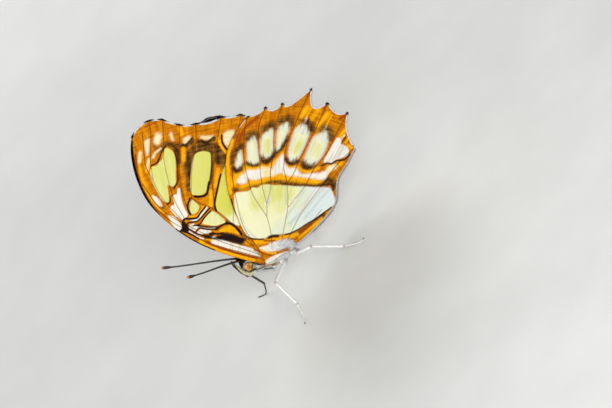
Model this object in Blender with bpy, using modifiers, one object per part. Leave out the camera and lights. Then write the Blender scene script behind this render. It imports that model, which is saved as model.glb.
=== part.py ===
"""A malachite butterfly at rest on its feet, wings closed over its back, at life size.

The head points to -X, the left side faces -Y, and the soles stand on z = 0. The sizes below are in
millimetres and MM turns them into metres. A wing is drawn in its own upright plane: the first
number of a wing point is how far back it lies from the hinge, and the second how far above it.
"""

import math

import bmesh
import bpy
from mathutils import Matrix, Vector
from mathutils.geometry import delaunay_2d_cdt

MM = 0.001
GAP = 0.3
SIDES = {"left": -1, "right": 1}

# Body: the thorax is held head-up, and the abdomen hangs level between the hindwings
BODY_PITCH = math.radians(25)
THORAX_CENTRE = (1.3, 0, 10.9)
THORAX_RADII = (5.2, 2.35, 2.9)
COLLAR_CENTRE = (-2.5, 0, 12.7)
COLLAR_RADII = (1.3, 1.5, 1.6)
HEAD_CENTRE = (-4.4, 0, 14.9)
HEAD_RADII = (1.45, 1.7, 1.85)
EYE_CENTRE = (-4.4, 1.6, 14.5)
EYE_RADII = (1.07, 0.62, 1.1)
ABDOMEN_START = (4.4, 0, 10.7)
ABDOMEN_MIDDLE = (12.0, 0, 11.0)
ABDOMEN_END = (19.6, 0, 10.3)
ABDOMEN_RADIUS = 1.65
ABDOMEN_RINGS = 8
RING_GROOVE = 0.12

# Mouthparts and feelers
PALP_PATH = [
    (-4.8, 1.1, 12.45),
    (-5.65, 1.15, 12.8),
    (-6.35, 1.05, 14.3),
    (-6.5, 1.0, 16.0),
    (-6.3, 0.85, 17.4),
]
PALP_RADII = [0.35, 0.45, 0.42, 0.34, 0.12]
COIL_CENTRE = (-6.1, 0, 12.55)
COIL_RADIUS = 0.66
COIL_PITCH = 0.55
COIL_TURNS = 1.1
COIL_START = math.radians(54)
COIL_THICKNESS = 0.44
FEELER_SOCKET = (-4.4, 0.52, 16.3)
FEELER_BASE = (-4.95, 0.8, 17.0)
FEELER_TIPS = {"left": (-15.4, -5.9, 27.7), "right": (-17.6, 5.9, 27.7)}
FEELER_RADIUS = 0.26
FEELER_SAG = 0.5
CLUB_RADIUS = 0.4
CLUB_LENGTH = 0.16

# Legs: where each one leaves the body, bends and stands
SOLE_HEIGHT = 0.16
COXA_RADII = (0.75, 0.45)
FEMUR_RADII = (0.4, 0.45, 0.32)
TIBIA_RADII = (0.29, 0.27, 0.3)
TARSUS_RADIUS = 0.25
LEGS = {
    "midleg_left": {
        "root": (1.0, -0.9, 10.2),
        "hip": (1.2, -2.0, 8.3),
        "knee": (-3.5, -7.0, 9.7),
        "ankle": (-4.0, -10.0, 3.6),
        "arch": (-5.0, -11.15, 1.4),
        "heel": (-5.6, -11.8, SOLE_HEIGHT),
        "toe": (-6.15, -12.5, SOLE_HEIGHT),
    },
    "midleg_right": {
        "root": (1.0, 0.9, 10.2),
        "hip": (1.2, 2.0, 8.3),
        "knee": (-6.0, 6.8, 9.3),
        "ankle": (-5.3, 9.4, 2.45),
        "arch": (-6.3, 9.6, 0.75),
        "heel": (-7.0, 9.8, SOLE_HEIGHT),
        "toe": (-8.4, 11.1, SOLE_HEIGHT),
    },
    "hindleg_left": {
        "root": (4.2, -0.8, 9.3),
        "hip": (4.8, -2.0, 7.5),
        "knee": (8.1, -5.0, 7.5),
        "ankle": (12.9, -7.0, 2.1),
        "arch": (14.4, -7.4, 0.95),
        "heel": (15.8, -7.8, SOLE_HEIGHT),
        "toe": (16.9, -8.15, SOLE_HEIGHT),
    },
    "hindleg_right": {
        "root": (4.2, 0.8, 9.3),
        "hip": (4.8, 2.0, 7.5),
        "knee": (7.4, 5.6, 8.3),
        "ankle": (10.2, 10.3, 3.2),
        "arch": (11.1, 11.6, 1.4),
        "heel": (11.7, 12.5, SOLE_HEIGHT),
        "toe": (12.3, 13.3, SOLE_HEIGHT),
    },
}
FORELEG_PATH = [(-1.3, 2.0, 9.45), (-3.85, 1.6, 12.1), (-4.0, 1.9, 12.45), (-2.4, 2.45, 11.95)]
FORELEG_RADII = [0.3, 0.34, 0.3, 0.24]

# Wings: two flat pairs, the hindwings outside the forewings, with veins raised on both faces
WING_THICKNESS = 0.5
VEIN_HEIGHT = 0.12
VEIN_HALF_WIDTH = 0.4
OUTLINE_STEP = 1.5
VEIN_STEP = 2.6
VEIN_TO_EDGE = 0.6
MESH_STEP = 3.6
FORE_HINGE_HEIGHT = 12.85
HIND_HINGE_HEIGHT = 13.5
FORE_OFFSET = 1.3
FORE_FLARE = 0.8
FORE_FLARE_REACH = 4.0
HIND_OFFSET = 2.35
HIND_FLARE = 0.8
HIND_FLARE_REACH = 6.0
LEAN = 0.75
LEAN_START = 8.0
LEAN_REACH = 14.0
LEAN_FOOT = 2.0
LEAN_RISE = 6.0
TAIL_OFFSET = 0.65
TAIL_START = 23.5
TAIL_REACH = 10.0

FORE_ROOT_FRONT = (-1.9, -0.4)
FORE_COSTA_HANDLES = [(-9.5, 14.0), (-13.5, 32.5)]
FORE_MARGIN = [
    # vein end, then the notch that follows it
    ((0.9, 46.5), (3.5, 47.0)),
    ((6.2, 46.1), (7.2, 45.0)),
    ((8.4, 43.6), (8.9, 41.5)),
    ((9.9, 39.4), (10.9, 37.6)),
    ((12.5, 36.2), (14.6, 33.5)),
    ((17.4, 32.0), (18.7, 30.0)),
    ((20.7, 28.4), (21.4, 26.2)),
]
FORE_TORNUS = (22.9, 24.4)
FORE_HIND_HANDLES = [(17.5, 18.0), (9.0, 5.5)]
FORE_ROOT_BACK = (2.2, -0.4)

FORE_VEINS = {
    "subcosta": [(-1.1, 0.8), (-6.2, 13.5), (-7.6, 22.0), (-8.1, 27.0)],
    "radius": [(-0.9, 2.0), (-4.3, 11.7), (-5.4, 16.5), (-6.3, 21.6)],
    "radius_1": [(-5.4, 16.5), (-6.9, 24.0), (-7.2, 30.0), (-5.6, 37.0)],
    "radius_4": [(-6.3, 21.6), (-5.3, 30.1), (-3.6, 35.1), (-0.4, 40.2), FORE_MARGIN[0][0]],
    "radius_5": [(-3.6, 35.1), (-1.1, 38.4), (3.2, 42.0), FORE_MARGIN[1][0]],
    "cell_end": [(-6.3, 21.6), (-5.6, 22.6), (-4.2, 22.4), (-2.6, 23.7), (-1.0, 24.6)],
    "media_1": [(-5.6, 22.6), (-3.4, 28.6), (1.2, 36.0), (4.2, 39.1), FORE_MARGIN[2][0]],
    "media_2": [(-4.2, 22.4), (-0.6, 28.6), (2.1, 31.8), (5.9, 35.4), FORE_MARGIN[3][0]],
    "media_3": [(-1.0, 24.6), (0.5, 26.2), (3.9, 29.3), (9.5, 33.3), FORE_MARGIN[4][0]],
    "cubitus": [(0.6, 1.5), (-0.5, 6.4), (0.5, 11.9), (0.4, 18.1), (-0.6, 22.0), (-1.0, 24.6)],
    "cubitus_1": [(0.4, 18.1), (2.6, 20.7), (6.1, 24.5), (11.8, 28.4), FORE_MARGIN[5][0]],
    "cubitus_2": [(0.5, 11.9), (6.3, 17.5), (12.3, 22.7), FORE_MARGIN[6][0]],
    "anal": [(1.0, 2.0), (6.5, 8.0), (13.5, 15.2), FORE_TORNUS],
}

HIND_ROOT_FRONT = (-1.5, -1.0)
HIND_COSTA_HANDLES = [(0.5, 10.0), (7.0, 27.5)]
HIND_COSTA_END = (18.8, 26.1)
HIND_MARGIN = [
    ((21.2, 26.5), (23.5, 25.0)),
    ((25.6, 24.6), (26.1, 22.5)),
    ((28.8, 21.6), (29.7, 19.6)),
    ((35.6, 18.0), (32.5, 14.6)),
    ((35.4, 12.4), (34.9, 8.9)),
    ((36.8, 6.7), (33.6, 4.2)),
]
HIND_LOBE = (31.5, -0.4)
HIND_INNER = [(28.2, -0.8), (23.7, -1.2), (19.3, -4.6), (15.1, -5.1), (9.9, -4.5), (4.0, -3.2)]
HIND_VEINS = {
    "subcosta": [(-0.6, 1.0), (1.4, 8.5), (4.2, 13.5), (8.5, 19.5), (13.0, 23.5), HIND_COSTA_END],
    "radius": [(2.0, 0.5), (4.4, 3.1), (6.7, 6.5), (7.7, 10.2), (9.2, 14.3), (14.2, 21.4),
               HIND_MARGIN[0][0]],
    "media_1": [(6.7, 6.5), (8.9, 8.6), (11.3, 12.3), (14.6, 16.2), (20.9, 22.5), HIND_MARGIN[1][0]],
    "media_2": [(8.9, 8.6), (12.5, 10.6), (15.1, 13.1), (18.8, 15.5), (23.4, 19.4), HIND_MARGIN[2][0]],
    "media_3": [(3.0, -1.0), (5.9, 0.6), (11.3, 3.9), (15.4, 7.7), (17.9, 11.1), (22.4, 14.3),
                (26.7, 15.7), HIND_MARGIN[3][0]],
    "cubitus_1": [(15.4, 7.7), (18.5, 8.1), (22.8, 9.4), (30.6, 11.0), HIND_MARGIN[4][0]],
    "cubitus_2": [(11.3, 3.9), (17.4, 3.9), (22.5, 4.9), (27.7, 4.9), (32.4, 5.9), HIND_MARGIN[5][0]],
    "anal_2": [(4.5, -1.5), (11.9, 0.2), (19.7, 0.7), (26.0, 1.0), HIND_LOBE],
    "anal_3": [(4.0, -2.2), (10.0, -3.2), (16.0, -3.3)],
}

COLOURS = {
    "head": (0.05, 0.04, 0.03),
    "eye": (0.45, 0.18, 0.03),
    "palp": (0.75, 0.72, 0.5),
    "proboscis": (0.1, 0.05, 0.02),
    "antenna": (0.02, 0.02, 0.02),
    "thorax": (0.8, 0.78, 0.72),
    "abdomen": (0.55, 0.4, 0.25),
    "leg": (0.85, 0.8, 0.75),
    "forewing": (0.7, 0.35, 0.05),
    "hindwing": (0.75, 0.7, 0.4),
}
ROUGHNESS = {"eye": 0.25, "proboscis": 0.4, "antenna": 0.5}
PLAIN_ROUGHNESS = 0.7


def clear_scene():
    for obj in list(bpy.data.objects):
        bpy.data.objects.remove(obj)


def collection(name, hidden=False):
    made = bpy.data.collections.new(name)
    made.hide_render = hidden
    bpy.context.scene.collection.children.link(made)
    return made


def metres(point):
    return Vector(point) * MM


def mirrored(point, side):
    return (point[0], side * point[1], point[2])


def finish(obj, kind):
    """Gives a node its own material and joins it to the butterfly's empty."""
    made = bpy.data.materials.new(obj.name)
    made.use_nodes = True
    shader = made.node_tree.nodes["Principled BSDF"]
    shader.inputs["Base Color"].default_value = (*COLOURS[kind], 1)
    shader.inputs["Roughness"].default_value = ROUGHNESS.get(kind, PLAIN_ROUGHNESS)
    obj.data.materials.clear()
    obj.data.materials.append(made)
    obj.data.shade_smooth()
    obj.data.set_sharp_from_angle(angle=math.radians(40))
    obj.parent = butterfly
    return obj


def new_object(name, mesh, where):
    obj = bpy.data.objects.new(name, mesh)
    where.objects.link(obj)
    if where is cutters:
        obj.hide_render = True
        obj.display_type = "WIRE"
    return obj


def mesh_of(bm, name):
    bmesh.ops.recalc_face_normals(bm, faces=bm.faces[:])
    mesh = bpy.data.meshes.new(name)
    bm.to_mesh(mesh)
    bm.free()
    return mesh


def ellipsoid(name, centre, radii, where, pitch=0.0, grow=0.0, rings=14):
    """A rounded body; pitch tips its front end up, and grow adds to every radius."""
    bm = bmesh.new()
    bmesh.ops.create_uvsphere(bm, u_segments=2 * rings, v_segments=rings, radius=MM)
    size = Matrix.Diagonal([r + grow for r in radii]).to_4x4()
    bmesh.ops.transform(bm, matrix=size, verts=bm.verts[:])
    obj = new_object(name, mesh_of(bm, name), where)
    obj.location = metres(centre)
    obj.rotation_euler = (0, pitch, 0)
    return obj


def applied(obj):
    """Replaces the object's mesh by its evaluated one, in world space, and drops the modifiers."""
    bpy.context.view_layer.update()
    graph = bpy.context.evaluated_depsgraph_get()
    mesh = bpy.data.meshes.new_from_object(obj.evaluated_get(graph), depsgraph=graph)
    mesh.transform(obj.matrix_world)
    where = obj.users_collection[0]
    name = obj.name
    bpy.data.objects.remove(obj)
    return new_object(name, mesh, where)


def tube(name, points, radii, where, resolution=2):
    """A round limb through the points, as thick at each as its radius says, with closed ends."""
    curve = bpy.data.curves.new(name, "CURVE")
    curve.dimensions = "3D"
    curve.bevel_depth = MM
    curve.bevel_resolution = resolution
    curve.use_fill_caps = True
    spline = curve.splines.new("POLY")
    spline.points.add(len(points) - 1)
    for knot, point, radius in zip(spline.points, points, radii):
        knot.co = (*metres(point), 1)
        knot.radius = radius
    made = applied(new_object(name, curve, where))
    bm = bmesh.new()
    bm.from_mesh(made.data)
    bmesh.ops.remove_doubles(bm, verts=bm.verts[:], dist=0.001 * MM)
    bpy.data.objects.remove(made)
    return new_object(name, mesh_of(bm, name), where)


def cut_at(obj, point, direction):
    """Removes what lies beyond the plane through the point, and closes the cut with a flat face."""
    bm = bmesh.new()
    bm.from_mesh(obj.data)
    everything = bm.verts[:] + bm.edges[:] + bm.faces[:]
    bmesh.ops.bisect_plane(
        bm, geom=everything, dist=0.0001 * MM, plane_co=point, plane_no=direction, clear_outer=True
    )
    rim = [edge for edge in bm.edges if edge.is_boundary]
    bmesh.ops.holes_fill(bm, edges=rim, sides=0)
    bmesh.ops.recalc_face_normals(bm, faces=bm.faces[:])
    bm.to_mesh(obj.data)
    bm.free()


def keep_largest(obj):
    """Keeps the connected piece with the most corners and drops any loose scrap."""
    bm = bmesh.new()
    bm.from_mesh(obj.data)
    left = set(bm.verts)
    pieces = []
    while left:
        found = {left.pop()}
        waiting = list(found)
        while waiting:
            vert = waiting.pop()
            for edge in vert.link_edges:
                other = edge.other_vert(vert)
                if other in left:
                    left.discard(other)
                    found.add(other)
                    waiting.append(other)
        pieces.append(found)
    pieces.sort(key=len)
    scraps = [vert for piece in pieces[:-1] for vert in piece]
    bmesh.ops.delete(bm, geom=scraps, context="VERTS")
    bm.to_mesh(obj.data)
    bm.free()


def united(obj, pieces):
    """Fuses the pieces into the object and removes them."""
    group = bpy.data.collections.new(obj.name + "_pieces")
    bpy.context.scene.collection.children.link(group)
    for piece in pieces:
        group.objects.link(piece)
    join = obj.modifiers.new("join", "BOOLEAN")
    join.operation = "UNION"
    join.operand_type = "COLLECTION"
    join.collection = group
    made = applied(obj)
    for piece in pieces:
        bpy.data.objects.remove(piece)
    bpy.data.collections.remove(group)
    keep_largest(made)
    return made


def cut_clear(obj, *others):
    """Cuts the object back from its neighbours' grown shapes."""
    for other in others:
        cut = obj.modifiers.new("clear_" + other.name, "BOOLEAN")
        cut.operation = "DIFFERENCE"
        cut.object = other
    made = applied(obj)
    keep_largest(made)
    return made


def bezier(start, handles, end, steps):
    """Points along a cubic curve, without its last one."""
    p0, p1, p2, p3 = (Vector(p) for p in (start, *handles, end))
    points = []
    for i in range(steps):
        t = i / steps
        s = 1 - t
        points.append(s**3 * p0 + 3 * s * s * t * p1 + 3 * s * t * t * p2 + t**3 * p3)
    return points


def smooth_through(knots, step):
    """Points about a step apart on a smooth curve that passes through every knot."""
    knots = [Vector(k) for k in knots]
    ends = [2 * knots[0] - knots[1], *knots, 2 * knots[-1] - knots[-2]]
    points = []
    for before, a, b, after in zip(ends, ends[1:], ends[2:], ends[3:]):
        steps = max(1, round((b - a).length / step))
        handles = [a + (b - before) / 6, b - (after - a) / 6]
        points += bezier(a, handles, b, steps)
    return points + [knots[-1]]


def notch(tip, valley, next_tip, step):
    """The hollow edge between two vein ends, deepest at the valley."""
    tip, valley, next_tip = Vector(tip), Vector(valley), Vector(next_tip)
    pull = 2 * valley - (tip + next_tip) / 2
    steps = max(2, round(((valley - tip).length + (next_tip - valley).length) / step))
    handles = [(tip + 2 * pull) / 3, (next_tip + 2 * pull) / 3]
    return bezier(tip, handles, next_tip, steps)


def margin(notches, last):
    tips = [tip for tip, _ in notches] + [last]
    edge = []
    for (tip, valley), next_tip in zip(notches, tips[1:]):
        edge += notch(tip, valley, next_tip, OUTLINE_STEP)
    return edge


def forewing_outline():
    edge = bezier(FORE_ROOT_FRONT, FORE_COSTA_HANDLES, FORE_MARGIN[0][0], 22)
    edge += margin(FORE_MARGIN, FORE_TORNUS)
    edge += bezier(FORE_TORNUS, FORE_HIND_HANDLES, FORE_ROOT_BACK, 14)
    edge += [Vector(FORE_ROOT_BACK)]
    return edge


def hindwing_outline():
    edge = bezier(HIND_ROOT_FRONT, HIND_COSTA_HANDLES, HIND_COSTA_END, 18)
    edge += [Vector(HIND_COSTA_END)]
    edge += margin(HIND_MARGIN, HIND_LOBE)
    edge += smooth_through([HIND_LOBE, *HIND_INNER], 2 * OUTLINE_STEP)
    return edge


def smooth_step(value):
    value = min(1, max(0, value))
    return value * value * (3 - 2 * value)


def forewing_distance(back, up):
    """How far a forewing's middle lies from the body's middle plane: its rear part leans in."""
    flare = FORE_FLARE * math.exp(-((up / FORE_FLARE_REACH) ** 2))
    return FORE_OFFSET + flare - LEAN * smooth_step((back - LEAN_START) / LEAN_REACH)


def hindwing_distance(back, up):
    """The hindwings pass outside the abdomen and the forewings, and close behind them."""
    flare = HIND_FLARE * math.exp(-((up / HIND_FLARE_REACH) ** 2))
    nearness = smooth_step((TAIL_START - back) / TAIL_START)
    above_abdomen = smooth_step((up - LEAN_FOOT) / LEAN_RISE)
    lean = LEAN * above_abdomen * smooth_step((back - LEAN_START) / LEAN_REACH)
    closing = smooth_step((back - TAIL_START) / TAIL_REACH)
    beside = HIND_OFFSET + flare * nearness - lean
    return beside + (TAIL_OFFSET - beside) * closing


def inside(point, outline):
    """Whether the point lies within the closed outline."""
    crossings = 0
    for a, b in zip(outline, outline[1:] + outline[:1]):
        if (a.y > point.y) != (b.y > point.y):
            crossing = a.x + (point.y - a.y) / (b.y - a.y) * (b.x - a.x)
            crossings += crossing > point.x
    return crossings % 2 == 1


def distance_to(point, lines):
    """How far the point lies from the nearest of the lines."""
    nearest = math.inf
    for line in lines:
        for a, b in zip(line, line[1:]):
            along = b - a
            share = (point - a).dot(along) / along.length_squared
            spot = a + along * min(1, max(0, share))
            nearest = min(nearest, (point - spot).length)
    return nearest


def vein_lines(veins, outline):
    """The veins' middle lines; a point too near the edge is dropped unless the vein ends on it."""
    edge = [outline + outline[:1]]
    lines = []
    for knots in veins.values():
        line = smooth_through(knots, VEIN_STEP)
        ends_on_edge = distance_to(line[-1], edge) < 0.01
        kept = [point for point in line[:-1] if distance_to(point, edge) > VEIN_TO_EDGE]
        lines.append(kept + [line[-1]] if ends_on_edge else kept)
    return lines


def ridge_feet(lines, outline):
    """Points along both sides of every vein, where its ridge meets the flat of the wing."""
    edge = [outline + outline[:1]]
    feet = []
    for line in lines:
        for before, here, after in zip(line, line[1:], line[2:]):
            along = (after - before).normalized()
            for side in (-1, 1):
                foot = here + side * VEIN_HALF_WIDTH * Vector((-along.y, along.x))
                free = distance_to(foot, lines) > 0.9 * VEIN_HALF_WIDTH
                apart = all((foot - other).length > VEIN_HALF_WIDTH for other in feet)
                if free and apart and inside(foot, outline) and distance_to(foot, edge) > VEIN_HALF_WIDTH:
                    feet.append(foot)
    return feet


def mesh_points(outline, taken):
    """Evenly spread points inside the outline that keep clear of those already taken."""
    low = Vector((min(p.x for p in outline), min(p.y for p in outline)))
    high = Vector((max(p.x for p in outline), max(p.y for p in outline)))
    rows = int((high.y - low.y) / MESH_STEP) + 1
    columns = int((high.x - low.x) / MESH_STEP) + 1
    points = []
    for row in range(rows):
        for column in range(columns):
            shift = (row % 2) / 2
            point = low + Vector(((column + shift) * MESH_STEP, row * MESH_STEP))
            clear = all((point - other).length > MESH_STEP / 2 for other in taken)
            if clear and inside(point, outline):
                points.append(point)
    return points


def wing_net(outline, lines):
    """Fills the outline with triangles whose edges follow the veins."""
    points = list(outline)
    edges = []
    for line in lines:
        first = len(points)
        points += line
        edges += [(first + i, first + i + 1) for i in range(len(line) - 1)]
    points += ridge_feet(lines, outline)
    points += mesh_points(outline, points)
    loop = list(range(len(outline)))
    flat, _, faces, *_ = delaunay_2d_cdt(points, edges, [loop], 1, 1e-4)
    return flat, faces


def wing(name, outline, veins, hinge_height, distance, side):
    """A thin wing: Solidify repeats its triangles on both faces and thickens it along the veins."""
    lines = vein_lines(veins, outline)
    flat, faces = wing_net(outline, lines)
    placed = [metres((p.x, side * distance(p.x, p.y), hinge_height + p.y)) for p in flat]
    mesh = bpy.data.meshes.new(name)
    mesh.from_pydata(placed, [], faces)
    obj = new_object(name, mesh, parts)
    thickest = WING_THICKNESS + 2 * VEIN_HEIGHT
    share = obj.vertex_groups.new(name="thickness")
    for index, point in enumerate(flat):
        ridge = max(0, 1 - distance_to(point, lines) / VEIN_HALF_WIDTH)
        share.add([index], (WING_THICKNESS + 2 * VEIN_HEIGHT * ridge) / thickest, "REPLACE")
    plate = obj.modifiers.new("plate", "SOLIDIFY")
    plate.thickness = thickest * MM
    plate.offset = 0
    plate.vertex_group = share.name
    return obj


def make_wings(thorax_clearance):
    fore_edge = forewing_outline()
    hind_edge = hindwing_outline()
    for label, side in SIDES.items():
        fore = wing(
            "forewing_" + label, fore_edge, FORE_VEINS, FORE_HINGE_HEIGHT, forewing_distance, side
        )
        finish(cut_clear(fore, thorax_clearance), "forewing")
        hind = wing(
            "hindwing_" + label, hind_edge, HIND_VEINS, HIND_HINGE_HEIGHT, hindwing_distance, side
        )
        finish(cut_clear(hind, thorax_clearance), "hindwing")


def joint_plane(before, joint, after):
    """The point and the direction of the plane that halves a limb's bend."""
    before, joint, after = metres(before), metres(joint), metres(after)
    direction = ((joint - before).normalized() + (after - joint).normalized()).normalized()
    return joint, direction


def limb(name, start, end, radii, plane_start, plane_end):
    """A straight limb segment, cut at the planes that halve the bends at its two ends."""
    start, end = Vector(start), Vector(end)
    along = (end - start).normalized()
    spots = [start - along, (start + end) / 2, end + along]
    made = tube(name, spots, radii, parts)
    trim(made, plane_start, plane_end)
    return made


def trim(obj, plane_start, plane_end):
    """Cuts a segment half a gap inside each of its two planes."""
    point, direction = plane_start
    cut_at(obj, point + direction * GAP / 2 * MM, -direction)
    if plane_end:
        point, direction = plane_end
        cut_at(obj, point - direction * GAP / 2 * MM, direction)


def make_leg(name, spots):
    """Femur, tibia and tarsus; the coxa is part of the thorax."""
    hip_plane = joint_plane(spots["root"], spots["hip"], spots["knee"])
    knee_plane = joint_plane(spots["hip"], spots["knee"], spots["ankle"])
    ankle_plane = joint_plane(spots["knee"], spots["ankle"], spots["arch"])
    femur = limb(name + "_femur", spots["hip"], spots["knee"], FEMUR_RADII, hip_plane, knee_plane)
    tibia = limb(name + "_tibia", spots["knee"], spots["ankle"], TIBIA_RADII, knee_plane, ankle_plane)
    ankle, arch = Vector(spots["ankle"]), Vector(spots["arch"])
    above = ankle + (ankle - arch).normalized()
    foot = smooth_through([ankle, arch, spots["heel"]], 0.7)
    path = [above, *foot, Vector(spots["toe"])]
    tarsus = tube(name + "_tarsus", path, [TARSUS_RADIUS] * len(path), parts)
    trim(tarsus, ankle_plane, None)
    cut_at(tarsus, Vector((0, 0, 0)), Vector((0, 0, -1)))
    for piece in (femur, tibia, tarsus):
        finish(piece, "leg")


def make_coxa(name, spots):
    """The stub that carries a leg, from inside the thorax to half a gap short of the hip."""
    root, hip = Vector(spots["root"]), Vector(spots["hip"])
    made = tube(name, [root, hip + (hip - root).normalized()], COXA_RADII, cutters)
    point, direction = joint_plane(spots["root"], spots["hip"], spots["knee"])
    cut_at(made, point - direction * GAP / 2 * MM, direction)
    return made


def make_thorax(head_clearance):
    thorax = ellipsoid("thorax", THORAX_CENTRE, THORAX_RADII, parts, BODY_PITCH)
    collar = ellipsoid("collar", COLLAR_CENTRE, COLLAR_RADII, cutters, BODY_PITCH, rings=10)
    stubs = [make_coxa("coxa_" + name, spots) for name, spots in LEGS.items()]
    thorax = united(thorax, [collar, *stubs])
    finish(cut_clear(thorax, head_clearance), "thorax")


def make_abdomen(thorax_clearance):
    """A soft tapering body of rings, each a little narrower at its front edge."""
    steps = 3 * ABDOMEN_RINGS
    handles = [ABDOMEN_MIDDLE, ABDOMEN_MIDDLE]
    path = bezier(ABDOMEN_START, handles, ABDOMEN_END, steps) + [Vector(ABDOMEN_END)]
    radii = []
    for i in range(steps + 1):
        t = i / steps
        swell = math.sin(math.pi * (0.12 + 0.8 * t) ** 0.8)
        groove = RING_GROOVE if i % 3 == 0 else 0
        radii.append(ABDOMEN_RADIUS * (0.25 + 0.75 * swell) - groove)
    radii[-1] = 0.3
    abdomen = tube("abdomen", path, radii, parts, 6)
    finish(cut_clear(abdomen, thorax_clearance), "abdomen")


def make_head():
    """The head capsule with a socket for each eye and a ring for each feeler."""
    head = ellipsoid("head", HEAD_CENTRE, HEAD_RADII, parts)
    rings = []
    clearances = []
    for label, side in SIDES.items():
        socket = mirrored(FEELER_SOCKET, side)
        base = Vector(mirrored(FEELER_BASE, side))
        end = base - (base - Vector(socket)).normalized() * GAP
        rings.append(tube("ring_" + label, [socket, end], [0.45, 0.4], cutters))
        centre = mirrored(EYE_CENTRE, side)
        clearances.append(ellipsoid("eye_room_" + label, centre, EYE_RADII, cutters, grow=GAP, rings=10))
        finish(ellipsoid("eye_" + label, centre, EYE_RADII, parts), "eye")
    head = united(head, rings)
    finish(cut_clear(head, *clearances), "head")


def make_feeler(label, side):
    """A long thin feeler that sags a little and ends in a club."""
    start = Vector(mirrored(FEELER_BASE, side))
    end = Vector(FEELER_TIPS[label])
    first = start.lerp(end, 0.3) + Vector((0, 0, FEELER_SAG))
    second = start.lerp(end, 0.7) - Vector((0, 0, FEELER_SAG))
    steps = 16
    path = bezier(start, [first, second], end, steps) + [end]
    radii = []
    for i in range(steps + 1):
        swell = smooth_step((i / steps - 1 + CLUB_LENGTH) / (CLUB_LENGTH / 2))
        radii.append(FEELER_RADIUS + (CLUB_RADIUS - FEELER_RADIUS) * swell)
    radii[-1] = FEELER_RADIUS
    finish(tube("antenna_" + label, path, radii, parts), "antenna")


def make_mouthparts():
    for label, side in SIDES.items():
        path = smooth_through([mirrored(p, side) for p in PALP_PATH], 0.7)
        last = len(PALP_RADII) - 1
        radii = []
        for i in range(len(path)):
            place = i / (len(path) - 1) * last
            low = min(int(place), last - 1)
            radii.append(PALP_RADII[low] + (PALP_RADII[low + 1] - PALP_RADII[low]) * (place - low))
        finish(tube("palp_" + label, path, radii, parts), "palp")
    steps = 16
    path = []
    for i in range(steps + 1):
        angle = COIL_START + 2 * math.pi * COIL_TURNS * i / steps
        reach = COIL_RADIUS - COIL_PITCH * COIL_TURNS * i / steps
        spot = Vector((reach * math.cos(angle), 0, reach * math.sin(angle)))
        path.append(Vector(COIL_CENTRE) + spot)
    radii = [COIL_THICKNESS / 2 * (1 - 0.5 * i / steps) for i in range(steps + 1)]
    finish(tube("proboscis", path, radii, parts), "proboscis")


def make_forelegs():
    """The short front legs, folded against the breast."""
    for label, side in SIDES.items():
        path = [mirrored(p, side) for p in FORELEG_PATH]
        finish(tube("foreleg_" + label, path, FORELEG_RADII, parts), "leg")


def stand_over_origin():
    """Moves the butterfly sideways until the middle of its box stands over the origin."""
    bpy.context.view_layer.update()
    solids = [obj for obj in parts.objects if obj.type == "MESH"]
    corners = [obj.matrix_world @ vert.co for obj in solids for vert in obj.data.vertices]
    for axis in (0, 1):
        reach = [corner[axis] for corner in corners]
        butterfly.location[axis] = -(min(reach) + max(reach)) / 2


clear_scene()
parts = collection("malachite_butterfly")
cutters = collection("cutters", hidden=True)
butterfly = bpy.data.objects.new("butterfly", None)
parts.objects.link(butterfly)
thorax_room = ellipsoid(
    "thorax_room", THORAX_CENTRE, THORAX_RADII, cutters, BODY_PITCH, grow=GAP
)
head_room = ellipsoid("head_room", HEAD_CENTRE, HEAD_RADII, cutters, grow=GAP)
make_head()
make_mouthparts()
for side_name, side_sign in SIDES.items():
    make_feeler(side_name, side_sign)
make_thorax(head_room)
make_abdomen(thorax_room)
make_forelegs()
for leg_name, leg_spots in LEGS.items():
    make_leg(leg_name, leg_spots)
make_wings(thorax_room)
stand_over_origin()
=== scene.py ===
# %% [markdown]
# # A malachite butterfly at rest
# A malachite stands with its wings shut over its back, so almost all that shows
# is the under side of two thin wings covered in coloured scales. The solids give
# every part its place; this lesson lays finer pieces and finishes over them.

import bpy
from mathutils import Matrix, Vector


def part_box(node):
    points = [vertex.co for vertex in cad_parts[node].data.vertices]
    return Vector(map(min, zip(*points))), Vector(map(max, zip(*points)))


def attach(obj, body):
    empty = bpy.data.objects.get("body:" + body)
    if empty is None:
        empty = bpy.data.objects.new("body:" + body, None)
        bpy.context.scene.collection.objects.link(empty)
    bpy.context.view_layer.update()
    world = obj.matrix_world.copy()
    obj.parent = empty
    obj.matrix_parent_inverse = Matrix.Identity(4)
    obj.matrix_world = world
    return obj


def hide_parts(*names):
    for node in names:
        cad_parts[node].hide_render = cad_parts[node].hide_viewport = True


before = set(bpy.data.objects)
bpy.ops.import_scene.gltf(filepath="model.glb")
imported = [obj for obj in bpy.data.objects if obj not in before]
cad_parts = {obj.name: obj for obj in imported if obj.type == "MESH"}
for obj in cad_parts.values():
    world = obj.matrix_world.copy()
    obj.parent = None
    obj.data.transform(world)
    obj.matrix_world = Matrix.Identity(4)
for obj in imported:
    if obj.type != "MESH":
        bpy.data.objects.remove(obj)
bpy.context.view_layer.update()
print("solid parts:", len(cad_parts))

# %% [markdown]
# ## Sizes and places
# The animal was measured in millimetres in its own frame, with the head toward
# minus x and the left side toward minus y. One known point, the middle of the
# left eye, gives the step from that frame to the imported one.

# %% Millimetres to the frame
import math

import bmesh
import bpy
import numpy as np
from mathutils import Matrix, Vector, kdtree
from mathutils.geometry import delaunay_2d_cdt

MM = 0.001  # metres
PER_MM = 1 / MM  # the scale of a pattern that repeats every millimetre
LEFT_EYE = (-4.4, -1.6, 14.5)
eye_low, eye_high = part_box("eye_left")
SHIFT = np.array((eye_low + eye_high) / 2) / MM - np.array(LEFT_EYE)
print("step in mm:", SHIFT.round(3))


def place(points):
    """Millimetres in the animal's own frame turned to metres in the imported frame."""
    return (np.asarray(points, float) + SHIFT) * MM

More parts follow.
